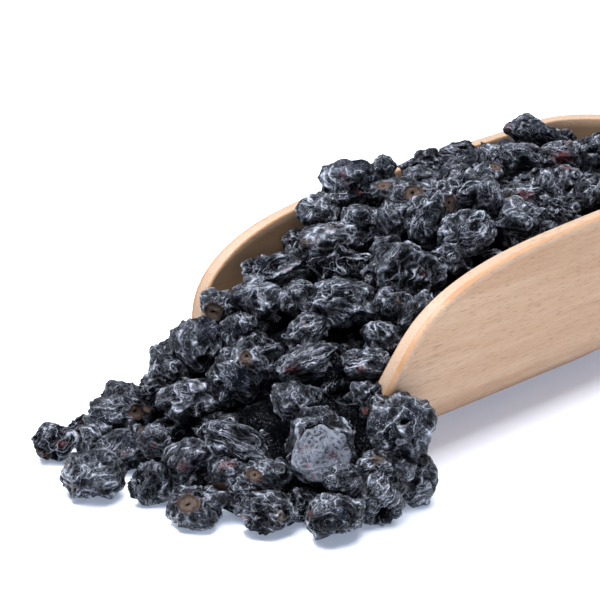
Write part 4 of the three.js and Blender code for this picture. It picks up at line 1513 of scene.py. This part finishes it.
    def packed_mass(self, name: str, node: str, currants: list[Currant]) -> None:
        """Make the mass under the currants that can be seen: the tops of the ones below, as one skin.

        The skin's height over each point of a grid is the highest of the currants' half balls
        there. It closes down to the hollow's bottom or the table wherever no currant reaches.

        Args:
            name: The piece's name.
            node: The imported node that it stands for.
            currants: The currants below.
        """
        places = np.array([c.at for c in currants])
        radii = np.array([c.radius * self.mass_plumpness for c in currants])
        low, high = (places - radii[:, None]).min(axis=0), (places + radii[:, None]).max(axis=0)
        x, y = np.meshgrid(*(np.arange(low[k], high[k], self.mass_cell) for k in (0, 1)), indexing="ij")
        flat = (x[..., None] - places[:, 0]) ** 2 + (y[..., None] - places[:, 1]) ** 2
        dome = places[:, 2] + np.sqrt(np.maximum(radii ** 2 - flat, 0))
        bottom = self.scoop.inner_floor(np.clip(x - LIP_X, 0, self.scoop.side(True)[2]), y)
        base = np.where(x > LIP_X, bottom + self.floor_gap, 0.05)
        top = np.where(flat < radii ** 2, dome, 0.0).max(axis=-1)
        top += 0.5 * gradient_noise(np.stack([x, y, top], axis=-1) * 0.6, 5)
        solid = top > base + 0.6
        within = solid.copy()
        for axis, step in ((0, -1), (0, 1), (1, -1), (1, 1)):
            within &= np.roll(solid, step, axis=axis)
        within[[0, -1]] = within[:, [0, -1]] = False
        top = np.where(within, top, base)
        number = np.arange(x.size)
        quad = quads(number.reshape(x.shape))
        quad = quad[within.ravel()[quad].any(axis=1)]
        below = np.where(within.ravel(), number + x.size, number)
        used, faces = np.unique(np.concatenate([quad, below[quad][:, ::-1]]), return_inverse=True)
        faces = faces.reshape(-1, 4)
        points = np.concatenate([np.stack([x, y, z], axis=-1).reshape(-1, 3) for z in (top, base)])
        points = self.kept_clear(points[used], places.mean(axis=0) * [1, 0, 1])
        # The packed mass lies in shade, and its skin is painted dark
        dark = np.tile([0.3, 0.0, 0.0, 0.9], (len(points), 1))
        self.finished(name, node, points, faces, skin=dark, marks=dark * [0, 0, 0, 1])

    def build(self, name: str, node: str, currants: list[Currant], cells: int) -> None:
        """Make one piece of many currants.

        Args:
            name: The piece's name.
            node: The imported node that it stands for.
            currants: The currants in it.
            cells: Faces along a patch of each ball.
        """
        ball, faces = self.ball(cells)
        shapes = [self.shrivelled(currant, ball) for currant in currants]
        points = [self.kept_clear(shape[0], currant.at) for shape, currant in zip(shapes, currants)]
        _, skin, marks = (np.concatenate(layer) for layer in zip(*shapes))
        starts = np.arange(len(currants))[:, None, None] * len(ball)
        every_face = (faces + starts).reshape(-1, 4)
        self.finished(name, node, np.concatenate(points), every_face, skin=skin, marks=marks)


def main() -> None:
    """Build the view, the studio, the scoop and the two heaps, and report each piece."""
    logging.basicConfig(level=logging.INFO, format="%(message)s")
    view, scoop = View(), Scoop()
    view.build()
    Studio().build()
    for piece in scoop.build(BeechFinish().build()):
        LOG.info("%s: %d faces", piece.name, len(piece.data.polygons))
    heap = Heap(scoop, view)
    heap.lay()
    shaper = CurrantShaper(view, scoop, CurrantSkin().build())
    groups = (("in_scoop", "currants_in_scoop", True), ("on_table", "currants_spilled", False))
    for place, node, inside in groups:
        skin = [c for c in heap.currants if heap.in_bowl(c) is inside]
        for size, cells, chosen in (
                ("large", 30, [c for c in skin if c.shown and c.is_large]),
                ("small", 22, [c for c in skin if c.shown and not c.is_large]),
                ("other", 15, [c for c in skin if not c.shown])):
            for number, start in enumerate(range(0, len(chosen), PER_PIECE)):
                some = chosen[start:start + PER_PIECE]
                shaper.build(f"currants_{place}_{size}_{number + 1}", node, some, cells)
    for layer, name, make in (
            (heap.deeper(depth=4.2, seed=4711), "under", partial(shaper.build, cells=8)),
            (heap.deeper(depth=6.4, seed=815), "deep", shaper.packed_mass)):
        for place, node, inside in groups:
            make(f"currants_{name}_{place}", node, [c for c in layer if heap.in_bowl(c) is inside])
    boxes = {
        name: [list(corner) for corner in box] for name, box in (("cad", CAD_BOX), ("visual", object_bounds()))}


if __name__ == "__main__":
    main()
